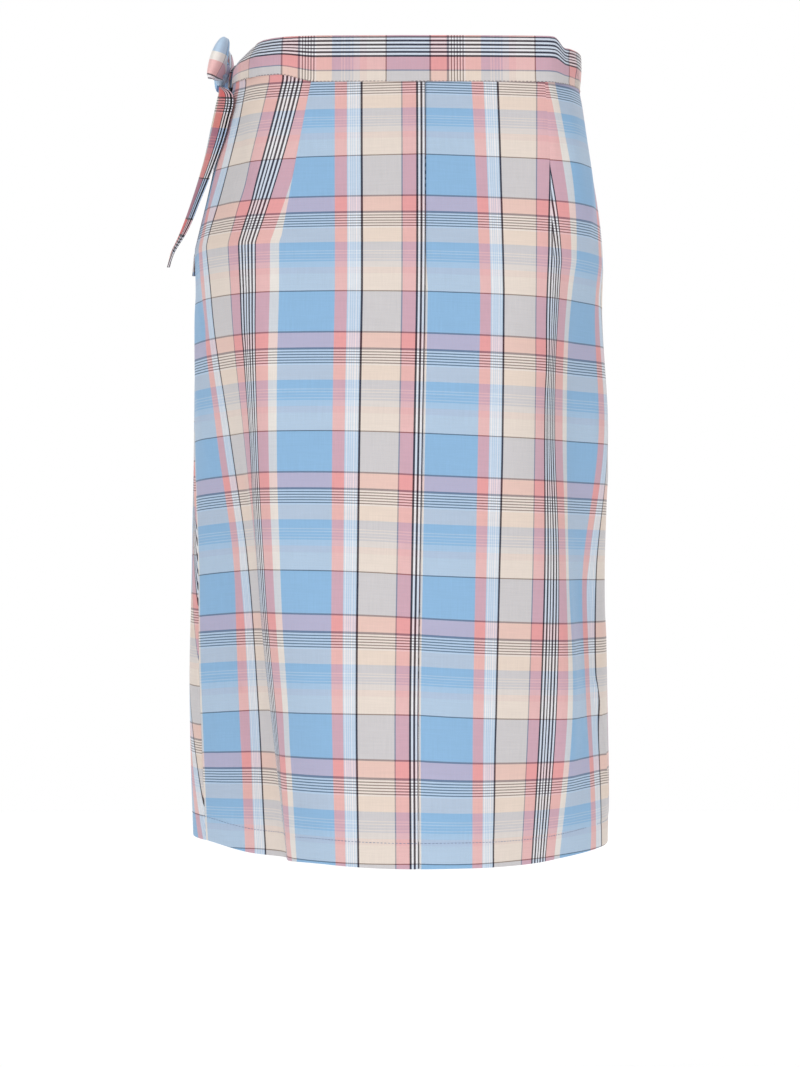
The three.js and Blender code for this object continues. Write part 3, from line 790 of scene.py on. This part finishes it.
def grain_drop(side, cloth, z):
    """How far the weft hangs below its straight height, by a curve through three places of the row."""
    middle, end = (1, 2) if side == "left" else (3, 4)
    at = [np.interp(z, LEVELS, GRAIN_ROWS[:, k]) for k in (0, middle, end)]
    t = cloth / HALF_BACK
    return at[0] * (1 - t) * (1 - 2 * t) + at[1] * 4 * t * (1 - t) + at[2] * t * (2 * t - 1)


# %% Make a half back
NEAR_COLUMNS, FAR_COLUMNS = 42, 46
DART_CURVE = {"left": 2.9, "right": 0.0}  # how far the dart's outer leg bows into the cloth
FLAT_AT_SEAM = 12  # over this distance from a seam the creases flatten


def with_edges(count):
    """Even shares with a few closer ones at both ends."""
    close = [0.002, 0.005, 0.01]
    return np.sort([*np.linspace(0, 1, count), *close, *[1 - share for share in close]])


def split_at(dart, near, far):
    """Shares across a whole half back, from the shares across its cloth on each side of the dart."""
    return np.concatenate([dart * near, (dart + (1 - dart) * far)[1:]])


def half_back_piece(side):
    near = with_edges(NEAR_COLUMNS)
    far = with_edges(FAR_COLUMNS)
    top_cut = cut_at(side, -BAND_HEIGHT / 2)
    top_width = top_cut["near"] - top_cut["start"] + top_cut["end"] - top_cut["far"]
    top_dart = (top_cut["near"] - top_cut["start"]) / top_width
    top_share = split_at(top_dart, near, far)
    rise = seam_rise(length_at(side, -BAND_HEIGHT / 2) * (1 - top_share)) if side == "left" else 0
    top = -BAND_HEIGHT / 2 + UNDER_BAND + rise + 0 * top_share

    low = HEM_Z - hem_dip(side, split_at(DARTS[side]["at_point"] / HALF_BACK, near, far))
    z, inward, spare = hem_grid(top, low)
    cut = cut_at(side, z)
    width = cut["near"] - cut["start"] + cut["end"] - cut["far"]
    dart = (cut["near"] - cut["start"]) / width
    part = np.concatenate([near, far[1:]])
    in_far = np.arange(len(part)) >= len(near)
    share = np.where(in_far, dart + (1 - dart) * part, dart * part)
    cloth_near = cut["start"] + share * width
    curve = DART_CURVE[side] * 4 * cut["opened"] * (1 - cut["opened"])
    cloth_far = cut["far"] + (share - dart) * width + curve * (1 - share) / (1 - dart)
    cloth = np.where(in_far, cloth_far, cloth_near)

    length = length_at(side, z)
    from_edge = np.minimum(share, 1 - share) * length
    from_dart = (share - dart) * length
    out = creased(side, cloth, z) * smooth(from_edge / FLAT_AT_SEAM)
    out = out * calmer(z - low)
    out += edge_roll(from_edge) + puckered(from_edge, z)
    out += puckered(from_dart, z, PUCKERS["dart"]) * smooth(cut["opened"] * 6)
    out += puckered(z - low - STITCH_ABOVE_HEM, cloth, PUCKERS["hem"])
    gap = SEAM_GAP / 2 / length
    points = placed(side, z, gap + eased(side, z, share, length) * (1 - 2 * gap), out - inward)

    sign = -1 if side == "left" else 1
    down = THIN_LINE_Z - (z + grain_drop(side, cloth, z)) + spare
    coordinates = [np.stack([WARP_AT_CENTRE[side] + sign * c, down], axis=-1)
                   for c in (cloth_near, cloth_far)]
    seam_column = len(near) - 1
    patches = [(0, seam_column, coordinates[0][:, :seam_column + 1]),
               (seam_column, len(part) - 1, coordinates[1][:, seam_column:])]
    piece = grid_piece(f"half_back_{side}", points, patches, PANEL_COTTON)
    faces_out(piece)
    thicken(piece, CLOTH)
    return piece


half_backs = {side: half_back_piece(side) for side in ("left", "right")}
for side, piece in half_backs.items():
    dressed(piece, f"back_{side}")

# %% [markdown]
# ## The two fronts
# The under front is sewn to the left side seam and the outer front to the right one, and each stops
# short of the other seam with a free edge that is turned and stitched like the hem. They lie on one
# surface, one a little outside the other, so both are made by the same function.

# %% Front layers
FRONT_COLUMNS = 118
LAYERS = {
    # how far out it lies, its places in the two charts, how far its warp leans, how much it is creased
    "over": {"out": lambda share: LAYER * (1 - share),
             "warp": 70.0, "thin_line": -70.0, "lean": 0.0, "creased": 1.0},
    "under": {"out": lambda share: -LAYER * share,
              "warp": 64.0, "thin_line": -67.8, "lean": 0.25, "creased": 0.35},
}
LEAN_FROM_Z = -625  # where the dark warp line of the under front meets the side seam
EDGE_STITCH = 8  # from a free edge to its stitches
FLAT_AT_EDGE = 14  # over this distance from an edge the creases flatten


def front_span(layer, length, share):
    """Where a front starts and stops, from the left side seam, at a share of the drop."""
    short = FREE_EDGE["top"] + (FREE_EDGE["hem"] - FREE_EDGE["top"]) * np.clip(share, 0, 1)
    gap = SEAM_GAP / 2
    if layer == "over":
        return short, length - gap
    return gap + 0 * short, length - short


def front_piece(layer):
    facts = LAYERS[layer]
    part = with_edges(FRONT_COLUMNS)
    top_length = length_at("front", -BAND_HEIGHT / 2)
    start, end = front_span(layer, top_length, np.array(0.0))
    top = -BAND_HEIGHT / 2 + UNDER_BAND + seam_rise(-(start + (end - start) * part))

    z, inward, spare = hem_grid(top, np.full_like(top, HEM_Z))
    length = length_at("front", z)
    start, end = front_span(layer, length, (z - top) / (HEM_Z - top))
    along = start + (end - start) * part
    from_sewn = (end - along) if layer == "over" else (along - start)
    from_free = (along - start) if layer == "over" else (end - along)
    out = creased("front", along, z) * smooth(np.minimum(from_sewn, from_free) / FLAT_AT_EDGE)
    out = out * calmer(z - HEM_Z) * facts["creased"]
    out += edge_roll(from_sewn) + puckered(from_sewn, z)
    out += puckered(from_free - EDGE_STITCH, z, PUCKERS["free edge"])
    out += puckered(z - HEM_Z - STITCH_ABOVE_HEM, along, PUCKERS["hem"])
    lift = facts["out"](along / length)
    points = placed("front", z, along / length, out + lift - inward)

    across = facts["warp"] - along + facts["lean"] * (z - LEAN_FROM_Z)
    down = facts["thin_line"] - z + spare
    coordinates = np.stack([across, down], axis=-1)
    piece = grid_piece(f"front_{layer}_cloth", points, [(0, len(part) - 1, coordinates)], PANEL_COTTON)
    faces_out(piece)
    thicken(piece, CLOTH)
    return piece


fronts = {layer: front_piece(layer) for layer in LAYERS}
for layer, piece in fronts.items():
    dressed(piece, f"front_{layer}")

# %% [markdown]
# ## The waistband
# The band is one strip folded double over the top of the panels, cut so that the warp runs along it.
# Its section is a narrow loop: up the outside, over a round top, and down the inside. The ends are
# drawn flat so that the loop is closed.

# %% Section of the waistband
BAND_FOLD = BAND_THICK / 2
BAND_WALL = 0.5


def band_rows():
    """Rows up the outside, over the fold and down the inside: how far out the row lies, its height as a
    share of the band, what is added to that height, and how much cloth lies beyond the lower edge."""
    outer, inner = BAND_PROUD, BAND_PROUD - BAND_THICK
    rows = [(outer - 0.6, 0.0, 0.6, -0.8), (outer - 0.35, 0.0, 0.1, -0.4)]
    for share in np.linspace(0, 1, 17):
        pillow = 0.35 * math.sin(math.pi * share)
        rows.append((outer + pillow, share, -BAND_FOLD * share, share * (BAND_HEIGHT - BAND_FOLD)))
    for angle in np.linspace(0, math.pi, 9)[1:]:
        rows.append((outer - BAND_FOLD * (1 - math.cos(angle)), 1.0, -BAND_FOLD * (1 - math.sin(angle)),
                     BAND_HEIGHT - BAND_FOLD + BAND_FOLD * angle))
    for share in np.linspace(1, 0, 9)[1:]:
        rows.append((inner, share, -BAND_FOLD * share, BAND_HEIGHT * (2 - share) + BAND_FOLD))
    rows.append((inner + 0.5, 0.0, 0.4, 2 * BAND_HEIGHT + BAND_FOLD + 0.6))
    return rows


BAND_CREASES = [
    # distance toward the wearer's left from the centre seam, share of the height, at both ends; width, depth
    (-118, 1.0, -142, 0.15, 6.0, -0.6), (-128, 1.0, -150, 0.2, 6.0, 0.5), (138, 1.0, 128, 0.3, 6.0, -0.6),
    (150, 0.1, 140, 0.8, 5.0, 0.7), (22, 0.0, 18, 0.6, 9.0, 0.3), (-60, 1.0, -66, 0.4, 10.0, -0.3),
    (166, 0.9, 160, 0.1, 5.0, -0.8), (92, 0.0, 96, 0.7, 8.0, -0.3),
]


def band_creased(left_of_centre, share):
    moved = np.zeros_like(left_of_centre + share)
    for from_left, from_share, to_left, to_share, half_width, depth in BAND_CREASES:
        t = np.clip((share - from_share) / (to_share - from_share), 0, 1)
        beside = left_of_centre - (from_left + (to_left - from_left) * t)
        moved += depth * np.exp(-(beside / half_width)**2)
    return moved


print(len(band_rows()), "rows round the waistband")

# %% Make a length of waistband
BAND_OVER = 2.2  # how far the cloth band runs down over the panels
BAND_TOP = 1.0  # and how far it stands up over its core
BAND_WARP_AT_SEAM = 86.1  # place in the warp chart at the band's lower edge
BAND_WEFT = {"at_centre": 30.3, "stretch": 1.07}
WAIST_LEFT = float(length_at("left", 0.0))
WAIST_RIGHT = float(length_at("right", 0.0))
WAIST_FRONT = float(length_at("front", 0.0))


def back_section(distance, z):
    """Place and direction at distances from the left side seam round the back, at heights."""
    on_left = on_surface("left", z, 1 - distance / WAIST_LEFT)
    on_right = on_surface("right", z, (distance - WAIST_LEFT) / WAIST_RIGHT)
    return np.where((distance < WAIST_LEFT)[..., None], on_left, on_right)


def front_section(distance, z):
    return on_surface("front", z, distance / WAIST_FRONT)


def band_low(seam):
    """Height of the cloth band's lower edge, from the distance behind the left side seam."""
    return -BAND_HEIGHT / 2 - BAND_OVER + SEAM_GAP / 2 + seam_rise(seam)


def band_piece(node, section, start, end, columns, from_seam, lift, left_of_centre, let_down):
    distance = np.linspace(start, end, columns)
    distance = np.sort(np.append(distance, [start + 0.5, end - 0.5]))
    seam = from_seam(distance)
    low = band_low(seam)
    high = BAND_HEIGHT / 2 + BAND_TOP - top_fall(seam) - let_down(distance)
    closed = 1 - np.exp(-(np.minimum(distance - start, end - distance) / 0.35)**2)
    points, coordinates = [], []
    for out, share, extra, beyond in band_rows():
        middle = BAND_PROUD - BAND_FOLD
        out = middle + (out - middle + band_creased(left_of_centre(distance), share)) * closed
        out = out + lift(distance)
        z = low + (high - low) * share + extra
        found = section(distance, z)
        points.append(moved_out(found, out, z))
        down = BAND_WEFT["at_centre"] - left_of_centre(distance) / BAND_WEFT["stretch"]
        warp = BAND_WARP_AT_SEAM + beyond * (1 + (BAND_OVER + BAND_TOP) / BAND_HEIGHT)
        coordinates.append(np.stack([warp + 0 * distance, down], axis=-1))
    points, coordinates = np.array(points), np.array(coordinates)
    piece = grid_piece(node + "_cloth", points, [(0, len(distance) - 1, coordinates)], BAND_COTTON)
    outside = piece.data.polygons[len(distance) * 6]
    if outside.normal.x * outside.center.x + outside.normal.y * outside.center.y < 0:
        piece.data.flip_normals()
    thicken(piece, BAND_WALL)
    dressed(piece, node)
    return piece


# %% The three lengths of waistband
def back_let_down(distance):
    past_centre = distance - WAIST_LEFT
    reach = RIGHT_STEP["to"] - RIGHT_STEP["from"]
    return RIGHT_STEP["depth"] * smooth((past_centre - RIGHT_STEP["from"]) / reach)


def front_let_down(distance):
    return RIGHT_STEP["depth"] * (1 - smooth((WAIST_FRONT - distance) / RIGHT_STEP["front"]))


def front_lift(layer):
    """How far out a front's waistband lies at distances from the left side seam."""
    return lambda distance: LAYERS[layer]["out"](distance / WAIST_FRONT)


BAND_COLUMNS = {"back": 170, "front": 130}
band_back = band_piece(
    "waistband_back", back_section, SEAM_GAP / 2, WAIST_LEFT + WAIST_RIGHT - SEAM_GAP / 2,
    BAND_COLUMNS["back"], lambda d: d, lambda d: 0 * d, lambda d: WAIST_LEFT - d, back_let_down)
waist_spans = {layer: [float(v) for v in front_span(layer, WAIST_FRONT, np.array(0.0))] for layer in LAYERS}
band_fronts = {
    layer: band_piece(f"waistband_{layer}", front_section, *waist_spans[layer], BAND_COLUMNS["front"],
                      lambda d: -d, front_lift(layer), lambda d: WAIST_LEFT + d, front_let_down)
    for layer in LAYERS
}

# %% [markdown]
# ## The bow
# The ends of the outer front are tied at the wearer's left. The tie is a doubled strip, so it is made
# as a flat closed tube with soft round edges. Two loops leave the knot, turn and come back, gathered
# where the knot holds them, and two tails hang down against the skirt.

# %% The bow's own frame
KNOT = {"out": 6, "along": 8.5, "up": 11, "from_edge": 3, "tilt": 0.28, "stand": 0.4}
TIE_WALL = 2.4
TIE_HALF_WIDTH = 18
LOOP_GATHERED = 7
LOOP_START = 0.07


def beside_left_seam(z, behind):
    """Place and direction near the left side seam, behind it or before it if negative."""
    back = on_surface("left", z, 1 - behind / length_at("left", z))
    front = on_surface("front", z, -behind / length_at("front", z))
    return np.where((behind < 0)[..., None], front, back)


knot_place = beside_left_seam(np.array(0.0), np.array(-float(FREE_EDGE["top"] + KNOT["from_edge"])))
knot_clear = BAND_PROUD + LAYER + SEAM_GAP + KNOT["out"] + KNOT["stand"]
tilted = math.hypot(1, KNOT["tilt"])  # the waistband leans in toward its top, and the bow with it
BOW_OUT = np.array([knot_place[2], knot_place[3], KNOT["tilt"]]) / tilted
BOW_ALONG = np.array([-knot_place[3], knot_place[2], 0])
BOW_UP = np.array([-KNOT["tilt"] * knot_place[2], -KNOT["tilt"] * knot_place[3], 1]) / tilted
BOW_ORIGIN = np.array([*(knot_place[:2] + knot_place[2:] * knot_clear), 0])


def in_bow(out, along, up):
    """Points from how far out, along the waistband and up from the knot's middle they lie."""
    return (BOW_ORIGIN + np.asarray(out)[..., None] * BOW_OUT + np.asarray(along)[..., None] * BOW_ALONG
            + np.asarray(up)[..., None] * BOW_UP)


print("knot at", np.round(BOW_ORIGIN, 1), "mm")

# %% [markdown]
# A strip is swept: at each station along it there is a middle line across its width and a direction
# through its wall. The tube goes over the strip and back under it, thin at both edges.

# %% Sweep a doubled strip
ACROSS = np.linspace(-1, 1, 21)


def woven_chart(warp, down):
    """Cloth coordinates from places in the warp chart, across a strip, and in the weft one, down it."""
    return np.stack(np.broadcast_arrays(warp, down), axis=-1)


def strip_piece(node, middle, through, chart, material):
    """A closed tube from a grid of middle points, the direction through the wall at each, and the cloth
    coordinates of each."""
    thick = TIE_WALL / 2 * np.sqrt(1 - ACROSS**8)[None, :, None]
    over, under = middle + through * thick, middle - through * thick
    loop = np.concatenate([over, under[:, -2:0:-1]], axis=1)
    cloth = np.concatenate([chart, chart[:, -2:0:-1]], axis=1)
    ring = np.swapaxes(loop, 0, 1)
    piece = grid_piece(node + "_cloth", ring, [(0, ring.shape[1] - 1, np.swapaxes(cloth, 0, 1))],
                       material, around=True)
    pick(piece)
    bpy.ops.object.mode_set(mode="EDIT")
    bpy.ops.mesh.select_mode(type="EDGE")
    bpy.ops.mesh.select_all(action="DESELECT")
    bpy.ops.mesh.select_non_manifold()
    bpy.ops.mesh.fill()
    bpy.ops.object.mode_set(mode="OBJECT")
    normals_out(piece)
    bpy.ops.object.shade_smooth_by_angle(angle=math.radians(60))
    dressed(piece, node)
    return piece


# %% The two loops
LOOPS = {
    "bow_loop_back": {"to_back": 1, "turned": 1, "reach": 27, "bulge": 3.9, "rise": 9, "shift": 2.4,
                      "lean": -1.6},
    "bow_loop_front": {"to_back": -1, "turned": -1, "reach": 38, "bulge": 5.6, "rise": 4, "shift": 5,
                       "lean": 3},
}
LOOP_ROUND = 0.14  # how much shorter a loop is along its edges
LOOP_PUFF = {"middle": 1.3, "less at the edges": 0.6}  # fullest halfway up
LOOP_OPENS = 0.2  # over this share of its length a loop widens from the knot
GATHERS = {"held": 0.8, "waves": 7, "open": 0.35, "slow waves": 3.1}
WEFT_AT_LOOP_END = 104  # a plain stretch of the weft chart lies round the loops' far ends
TIE_WARP = {"upper": 156.8, "lower": 120.8}  # places in the warp chart at the strip's two edges


def loop_piece(name, facts):
    t = np.linspace(LOOP_START, 1 - LOOP_START, 73)[:, None]
    puffed = facts["bulge"] * (LOOP_PUFF["middle"] - LOOP_PUFF["less at the edges"] * ACROSS**2)

    def middle_line(t):
        away = KNOT["along"] + SEAM_GAP + facts["reach"] * (
            math.cos(2 * math.pi * LOOP_START) - np.cos(2 * math.pi * t)) / 2
        return away * (1 - LOOP_ROUND * ACROSS**4), puffed * np.sin(2 * math.pi * t)

    away, out = middle_line(t)
    run_away, run_out = (ahead - before for ahead, before in zip(middle_line(t + 0.005),
                                                                 middle_line(t - 0.005)))
    size = np.hypot(run_away, run_out)
    run_away, run_out = run_away / size, run_out / size
    opened = smooth(np.minimum(t - LOOP_START, 1 - LOOP_START - t) / LOOP_OPENS)
    half = LOOP_GATHERED + (TIE_HALF_WIDTH - LOOP_GATHERED) * opened
    up = facts["rise"] * opened + ACROSS * half
    aside = facts["shift"] * opened + facts["lean"] * ACROSS * opened
    gathers = ((1 - opened) * GATHERS["held"] * np.cos(GATHERS["waves"] * ACROSS)
               + opened * GATHERS["open"] * np.sin(GATHERS["slow waves"] * ACROSS + 2 * t))
    place_out = out + aside + run_away * gathers
    place_away = away - run_out * gathers
    middle = in_bow(place_out, facts["to_back"] * place_away, up)
    through = (run_away + 0 * up)[..., None] * BOW_OUT - (
        facts["to_back"] * run_out + 0 * up)[..., None] * BOW_ALONG
    steps = np.hypot(np.diff(away, axis=0), np.diff(out, axis=0)).mean(axis=1)
    travelled = np.concatenate([[0], np.cumsum(steps)])[:, None]
    down = WEFT_AT_LOOP_END + travelled - travelled[-1] / 2
    share = (ACROSS[None, :] * facts["turned"] + 1) / 2
    warp = TIE_WARP["lower"] + (TIE_WARP["upper"] - TIE_WARP["lower"]) * share
    return strip_piece(name, middle, through, woven_chart(warp, down), LOOP_COTTON_PAINTED_LIGHT)


loops = {name: loop_piece(name, facts) for name, facts in LOOPS.items()}

# %% The two tails
TAILS = {
    # height, front edge, back edge behind the side seam; how far clear of the skirt; depth of its fold;
    # how much further out its front edge lies than its back one
    "bow_tail_back": [
        [-11.4, -9.1, -3, 10.8, 0, 0], [-24, 4, 34, 7.8, 1, 6], [-48, 8, 42, 7, 1.2, 7],
        [-78, 4, 40, 7.4, 1.2, 7], [-111, 2, 36, 10, 1.2, 6], [-141, 2, 30, 14.5, 1, 5],
        [-165, -2, 0.5, 23.4, 0, 0],
    ],
    "bow_tail_front": [
        [-11.4, -15.4, -9.5, 10.8, 0, 0], [-24, -25, -12, 9.4, 1.5, 1], [-48, -40, -15, 8.4, 3, 2],
        [-84, -53, -19, 8, 3, 3], [-124, -61, -27, 8, 3, 1], [-152, -52, -31, 10, 2, -2],
        [-170, -36, -33.5, 12, 0, -1],
    ],
}
# Where the stripes lie across a tail: shares from its front edge to its back one, and places in the
# warp chart. The back edge is folded away, so its stripes are drawn closer.
TAIL_STRIPES = {"share": (0, 0.3, 0.74, 1), "warp": (146, 135.4, 123.4, 115.4)}
TAIL_THIN_LINE = 21.8
TAIL_SLANT = 5  # how much lower the weft lies at the back edge
TAIL_FOLD_SOFT = 0.02  # how round the fold down a tail's middle is


def tail_piece(name, rows):
    heights = np.linspace(rows[0][0], rows[-1][0], 61)
    facts = np.array([row_at(rows, z) for z in heights])
    front, back, clear, fold, turn = (facts[:, k:k + 1] for k in range(5))
    share = (ACROSS + 1) / 2
    z = heights[:, None] + 0 * share
    found = beside_left_seam(z, front + (back - front) * share)
    ridge = 0.5 - np.sqrt((2 * share - 1)**2 + TAIL_FOLD_SOFT)
    out = clear + fold * ridge + turn * (0.5 - share)
    middle = moved_out(found, out, z)
    warp = np.interp(share, TAIL_STRIPES["share"], TAIL_STRIPES["warp"])
    down = TAIL_THIN_LINE - z - TAIL_SLANT * (share - 0.5)
    return strip_piece(name, middle, outward(found), woven_chart(warp, down), TAIL_COTTON_PAINTED_SHADE)


tails = {name: tail_piece(name, rows) for name, rows in TAILS.items()}

# %% [markdown]
# ## The knot
# The knot is the same strip wound once round the others, so it is a small barrel with soft pleats
# running round it. It starts as a sphere, is scaled to the barrel's three sizes and pleated by moving
# its points.

# %% The knot
PLEATS = {"depth": 0.06, "count": 11, "slant": 1.4}
KNOT_CHART = {"warp": 8, "along": 15, "weft": 10, "around": 11}  # its middle in the charts, and its reach
bpy.ops.object.select_all(action="DESELECT")
bpy.ops.mesh.primitive_uv_sphere_add(segments=64, ring_count=36, radius=1)
knot = bpy.context.active_object
knot.name = "bow_knot_cloth"
ball = np.array([v.co for v in knot.data.vertices])
waves = 0.5 + 0.5 * np.cos(PLEATS["count"] * ball[:, 1] + PLEATS["slant"] * ball[:, 2])
pleats = 1 - PLEATS["depth"] * waves * (1 - ball[:, 1]**2)
barrel = np.sign(ball) * np.abs(ball)**0.9
formed = in_bow(barrel[:, 0] * KNOT["out"] * pleats, ball[:, 1] * KNOT["along"],
                ball[:, 2] * KNOT["up"] * pleats)
for vertex, place in zip(knot.data.vertices, formed * MM):
    vertex.co = place
knot_chart = knot.data.uv_layers.new(name="cloth")
for loop in knot.data.loops:
    spot = ball[loop.vertex_index]
    around = math.atan2(spot[2], spot[0])
    knot_chart.data[loop.index].uv = ((KNOT_CHART["warp"] + KNOT_CHART["along"] * spot[1]) * MM,
                                      (KNOT_CHART["weft"] + KNOT_CHART["around"] * around) * MM)
knot.data.materials.append(LOOP_COTTON_PAINTED_LIGHT)
normals_out(knot)
bpy.ops.object.shade_smooth()
dressed(knot, "bow_knot")

# %% [markdown]
# ## Stitches
# A machine stitch is a short length of thread that dips into the cloth at both ends. One is modelled
# from a small sphere and copied along each line of sewing into one joined mesh, because a skirt has
# more than a thousand of them.

# %% One stitch and a line of them
STITCH = {"length": 2.3, "pitch": 3.1, "half_thick": 0.22, "uneven": 0.12}
STITCH_SUNK = 0.05  # how far a stitch is drawn into the cloth
bpy.ops.object.select_all(action="DESELECT")
bpy.ops.mesh.primitive_uv_sphere_add(segments=6, ring_count=5, radius=1)
one_stitch = bpy.context.active_object
STITCH_POINTS = np.array([v.co for v in one_stitch.data.vertices])
STITCH_FACES = [tuple(p.vertices) for p in one_stitch.data.polygons]
bpy.data.objects.remove(one_stitch)


def stitched(name, lines_of_sewing, material):
    """A joined mesh of stitches along lines, each a row of points and a row of outward directions."""
    places, faces = [], []
    for points, outward in lines_of_sewing:
        steps = np.linalg.norm(np.diff(points, axis=0), axis=1)
        total = np.concatenate([[0], np.cumsum(steps)])
        starts = np.arange(STITCH["pitch"] / 2, total[-1] - STITCH["pitch"] / 2, STITCH["pitch"])
        for k, start in enumerate(starts):
            ends = [np.array([np.interp(start + s, total, points[:, a]) for a in range(3)])
                    for s in (-STITCH["length"] / 2, STITCH["length"] / 2)]
            out = np.array([np.interp(start, total, outward[:, a]) for a in range(3)])
            run = (ends[1] - ends[0]) / 2
            side = np.cross(out, run / np.linalg.norm(run))
            thick = STITCH["half_thick"] * (1 + STITCH["uneven"] * math.sin(k * 1.7))
            middle = (ends[0] + ends[1]) / 2
            body = (middle + STITCH_POINTS[:, 2:3] * run + STITCH_POINTS[:, 0:1] * side * thick
                    + STITCH_POINTS[:, 1:2] * out * thick)
            first = len(places) * len(STITCH_POINTS)
            faces += [tuple(first + i for i in face) for face in STITCH_FACES]
            places.append(body)
    mesh = bpy.data.meshes.new(name)
    mesh.from_pydata((np.concatenate(places) * MM).tolist(), [], faces)
    piece = bpy.data.objects.new(name, mesh)
    bpy.context.scene.collection.objects.link(piece)
    mesh.materials.append(material)
    normals_out(piece)
    bpy.ops.object.shade_smooth()
    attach(piece, "root")
    print(name, len(places), "stitches")


# %% Lines of sewing on the panels
def line_on(name, z, share, out):
    """A row of points on a panel, with the outward directions there."""
    found = on_surface(name, z, share)
    return moved_out(found, out, z), outward(found)


def hem_line(name, start, end, lift):
    share = np.linspace(start, end, 300)
    dip = hem_dip(name, share) if name in HEM_DIP else 0 * share
    return line_on(name, HEM_Z + STITCH_ABOVE_HEM - dip, share, lift(share) - STITCH_SUNK)


def free_edge_line(layer):
    z = np.linspace(-BAND_HEIGHT / 2 - 2, HEM_Z + 1, 220)
    length = length_at("front", z)
    start, end = front_span(layer, length, (z + BAND_HEIGHT / 2) / (HEM_Z + BAND_HEIGHT / 2))
    share = (start + EDGE_STITCH) / length if layer == "over" else (end - EDGE_STITCH) / length
    return line_on("front", z, share, LAYERS[layer]["out"](share) - STITCH_SUNK)


SHORT_OF_SEAM = 0.003  # shares of a back and of a front that its hem stitches leave free at each end
SHORT_OF_EDGE = 0.002
front_hem = float(length_at("front", HEM_Z + STITCH_ABOVE_HEM))
hem_sewing = [hem_line(side, SHORT_OF_SEAM, 1 - SHORT_OF_SEAM, lambda share: 0 * share) for side in HEM_DIP]
for layer, facts in LAYERS.items():
    start, end = (float(v) / front_hem for v in front_span(layer, front_hem, np.array(0.97)))
    hem_sewing.append(hem_line("front", start + SHORT_OF_EDGE, end - SHORT_OF_EDGE, facts["out"]))
stitched("hem_stitches", hem_sewing, HEM_THREAD)
stitched("front_edge_stitches", [free_edge_line(layer) for layer in LAYERS], HEM_THREAD)


# %% Stitches along the waistband
BAND_STITCH_UP = 0.4  # over the band's lower edge


def band_line(section, start, end, from_seam, lift):
    distance = np.linspace(start + 1, end - 1, 500)
    z = band_low(from_seam(distance)) + BAND_STITCH_UP
    found = section(distance, z)
    return moved_out(found, BAND_PROUD + lift(distance), z), outward(found)


band_sewing = [
    band_line(back_section, 0, WAIST_LEFT + WAIST_RIGHT, lambda d: d, lambda d: 0 * d),
    band_line(front_section, *waist_spans["over"], lambda d: -d, front_lift("over")),
]
stitched("waistband_stitches", band_sewing, EDGE_THREAD)

# %% [markdown]
# ## What each sheet was cut to
# The sizes that the sheets were cut to are not declared in this script. The knot is modelled as a tight
# lump, so it isn't declared here.

print("cloth pieces made")

# %% [markdown]
# ## Stage and light
# A plain pale floor lies at the height of the wearer's feet. Two broad lights stand behind the camera
# on either side, one is above, and two weaker ones light the front, so no side is ever dark. A bright
# even surround fills the shadows.

# %% Floor
FLOOR_Z = -1.02
FLOOR_SIZE = 5.6
FLOOR_GLOW = 0.3
bpy.ops.object.select_all(action="DESELECT")
bpy.ops.mesh.primitive_plane_add(size=FLOOR_SIZE, location=(0, 0, FLOOR_Z))
floor = bpy.context.active_object
floor.name = "floor"
floor_nodes = Nodes("pale_floor")
floor.data.materials.append(floor_nodes.finish(
    Base_Color=(0.93, 0.93, 0.93, 1), Roughness=0.9, Emission_Color=(1, 1, 1, 1),
    Emission_Strength=FLOOR_GLOW))
print("floor at", FLOOR_Z, "m")

# %% Lights
LIGHTS = {
    # place, width in metres, watts; each points at the middle of the skirt
    "key": ((1.5, 3.0, 1.0), 1.8, 31),
    "fill": ((-2.0, 2.8, 0.3), 2.2, 20),
    "top": ((0.0, 0.3, 2.6), 1.8, 12),
    "front_key": ((-1.5, -3.0, 1.0), 1.8, 30),
    "front_fill": ((2.0, -2.8, 0.3), 2.2, 15),
}
SKIRT_MIDDLE = np.array([0.01, 0.0, -0.32])
SURROUND = {"lights": 0.42, "seen": 1.0}  # how bright the surround is as a light, and as a backdrop


def soft_light(name, place, size, watts):
    data = bpy.data.lights.new(name, "AREA")
    data.shape = "DISK"
    data.size = size
    data.energy = watts
    light = bpy.data.objects.new(name, data)
    light.location = place
    away = np.array(place) - SKIRT_MIDDLE
    flat_distance = math.hypot(away[0], away[1])
    light.rotation_euler = (math.atan2(flat_distance, away[2]), 0, math.atan2(away[0], -away[1]))
    bpy.context.scene.collection.objects.link(light)


for name, (place, size, watts) in LIGHTS.items():
    soft_light(name, place, size, watts)
world = bpy.data.worlds.new("surround")
world.use_nodes = True
links, world_nodes = world.node_tree.links, world.node_tree.nodes
background = world_nodes["Background"]
seen = world_nodes.new("ShaderNodeLightPath").outputs["Is Camera Ray"]
strength = world_nodes.new("ShaderNodeMapRange")
strength.inputs["To Min"].default_value = SURROUND["lights"]
strength.inputs["To Max"].default_value = SURROUND["seen"]
links.new(seen, strength.inputs["Value"])
links.new(strength.outputs["Result"], background.inputs["Strength"])
background.inputs["Color"].default_value = (1, 1, 1, 1)
bpy.context.scene.world = world
bpy.context.scene.view_settings.view_transform = "Standard"
print(len(LIGHTS), "lights")
